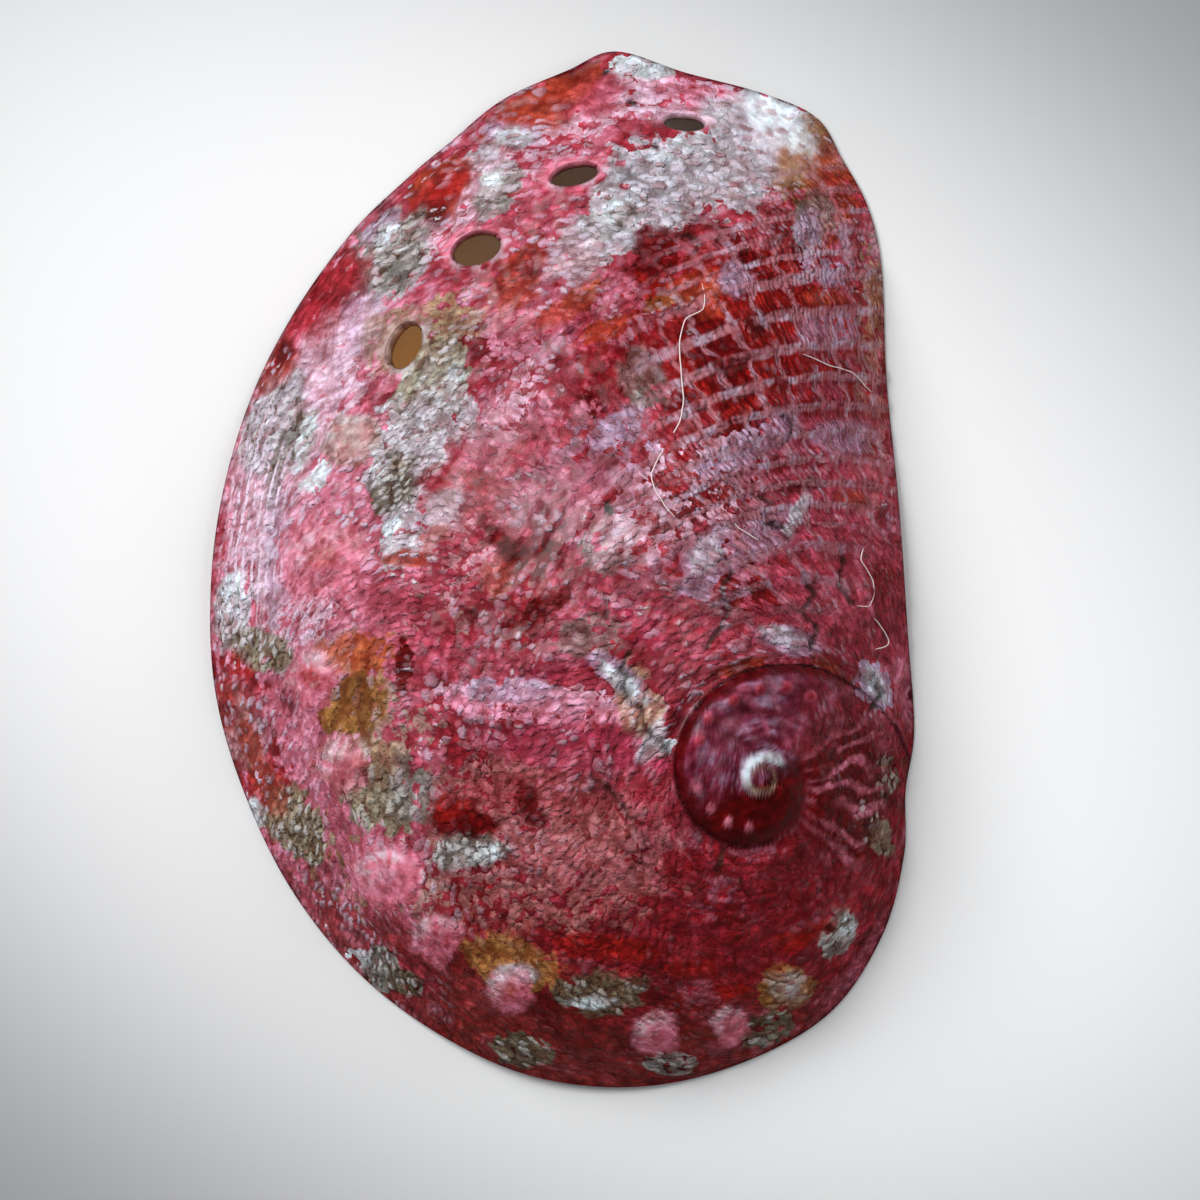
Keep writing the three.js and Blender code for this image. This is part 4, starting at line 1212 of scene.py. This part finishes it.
LINT = [
    [(4.0, 8.15), (4.05, 7.45), (3.5, 7.05), (3.35, 6.05), (3.45, 4.8), (3.3, 4.1), (2.7, 3.05),
     (2.55, 2.55), (2.8, 1.95), (3.2, 1.45)],
    [(6.9, 6.15), (7.7, 5.85), (8.35, 5.65), (8.95, 5.1)],
    [(8.65, 0.6), (8.6, 0.25), (8.95, -0.4), (8.85, -1.0), (8.45, -1.05)],
    [(8.95, -1.4), (9.25, -1.75), (9.4, -2.15), (9.0, -2.3)],
    [(4.55, 1.7), (5.05, 1.15), (5.6, 0.8)],
]
LINT_RADIUS = 0.018
LINT_SIDES = 6


def build_lint(surface):
    """Fine fibres lying on the shell; surface(x, y) is the height of the finished outside."""
    made = Assembly()
    for number, line in enumerate(LINT):
        points = np.array(line)
        t = np.linspace(0, len(points) - 1, (len(points) - 1) * 12 + 1)
        i = np.minimum(t.astype(int), len(points) - 2)
        w = (t - i)[:, None]
        path = spline(*(points[np.clip(i + k, 0, len(points) - 1)] for k in (-1, 0, 1, 2)), w)
        sway = np.column_stack([noise(t * 1.7, 0 * t + number, 121), noise(t * 1.7, 0 * t, 122)])
        path = path + 0.025 * sway
        z = surface(path[:, 0], path[:, 1]) + 0.05 + 0.03 * noise(t * 0.8, 0 * t + number, 123)
        centre = np.column_stack([path, z])
        ahead = np.gradient(centre, axis=0)
        ahead /= np.linalg.norm(ahead, axis=1)[:, None]
        side = np.cross(ahead, (0, 0, 1.0))
        side /= np.linalg.norm(side, axis=1)[:, None]
        up = np.cross(side, ahead)
        taper = LINT_RADIUS * (1 - 0.6 * np.abs(np.linspace(-1, 1, len(t))) ** 6)
        rails = []
        for turn in np.linspace(0, 2 * math.pi, LINT_SIDES, endpoint=False):
            rail = centre + taper[:, None] * (side * math.cos(turn) + up * math.sin(turn))
            rails.append(made.add(rail, np.tile(TONES["pink"], (len(rail), 1))))
        steps = np.arange(len(t) - 1)
        for a, b in zip(rails, rails[1:] + rails[:1]):
            made.face(np.stack([a + steps, b + steps, b + steps + 1, a + steps + 1], axis=1), 0)
        made.face([rails[::-1]], 0)
        made.face([[a + len(t) - 1 for a in rails]], 0)
    return made


# ---- the scene

body = build_shell()
shell = mesh_object("abalone_shell", body, [outer_material(), nacre_material()])
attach(shell, "root")
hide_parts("shell")

lint = mesh_object("lint_fibres", build_lint(outer_height), [lint_material()])
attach(lint, "root")

floor_mesh = bpy.data.meshes.new("floor")
FLOOR, FLOOR_DROP = 6.0, 0.00002
corners = [(i * FLOOR, j * FLOOR, -FLOOR_DROP) for i, j in ((-1, -1), (1, -1), (1, 1), (-1, 1))]
floor_mesh.from_pydata(corners, [], [(0, 1, 2, 3)])
floor_mesh.materials.append(floor_material())
floor = put("floor", floor_mesh)


def area_light(name, place, size, power, colour):
    light = bpy.data.lights.new(name, "AREA")
    light.shape, light.size, light.energy, light.color = "DISK", size, power, colour
    holder = put(name, light, place)
    holder.rotation_mode = "QUATERNION"
    holder.rotation_quaternion = (-Vector(place)).to_track_quat("-Z", "Y")


area_light("key", (-0.27, 0.25, 0.42), 0.4, 3.0, (0.975, 0.985, 1.0))
area_light("fill", (0.34, 0.14, 0.42), 0.4, 0.85, (0.97, 0.98, 1.0))

# What shows through the holes is lit warm and dim from under the dome.
glow = bpy.data.lights.new("glow", "POINT")
glow.energy, glow.color, glow.shadow_soft_size = 0.00013, (1.0, 0.4, 0.08), 0.0015
put("glow", glow, (-0.003, 0.0045, 0.0035))

world = bpy.data.worlds.new("studio")
world.use_nodes = True
world.node_tree.nodes["Background"].inputs["Color"].default_value = (0.93, 0.96, 1.0, 1)
world.node_tree.nodes["Background"].inputs["Strength"].default_value = 0.24
bpy.context.scene.world = world
bpy.context.scene.view_settings.view_transform = "Standard"

# The view from straight above: 34.8 mm across, its middle a little right of and above the shell's.
CAMERA_HEIGHT, VIEW_WIDTH, SENSOR = 0.26, 34.8 * MM, 36
camera_data = bpy.data.cameras.new("camera")
camera_data.sensor_width = SENSOR
camera_data.lens = SENSOR * CAMERA_HEIGHT / VIEW_WIDTH
camera = put("camera", camera_data, (1.09 * MM, -0.88 * MM, CAMERA_HEIGHT))
camera_data.clip_start, camera_data.clip_end = 0.01, 20
bpy.context.scene.camera = camera
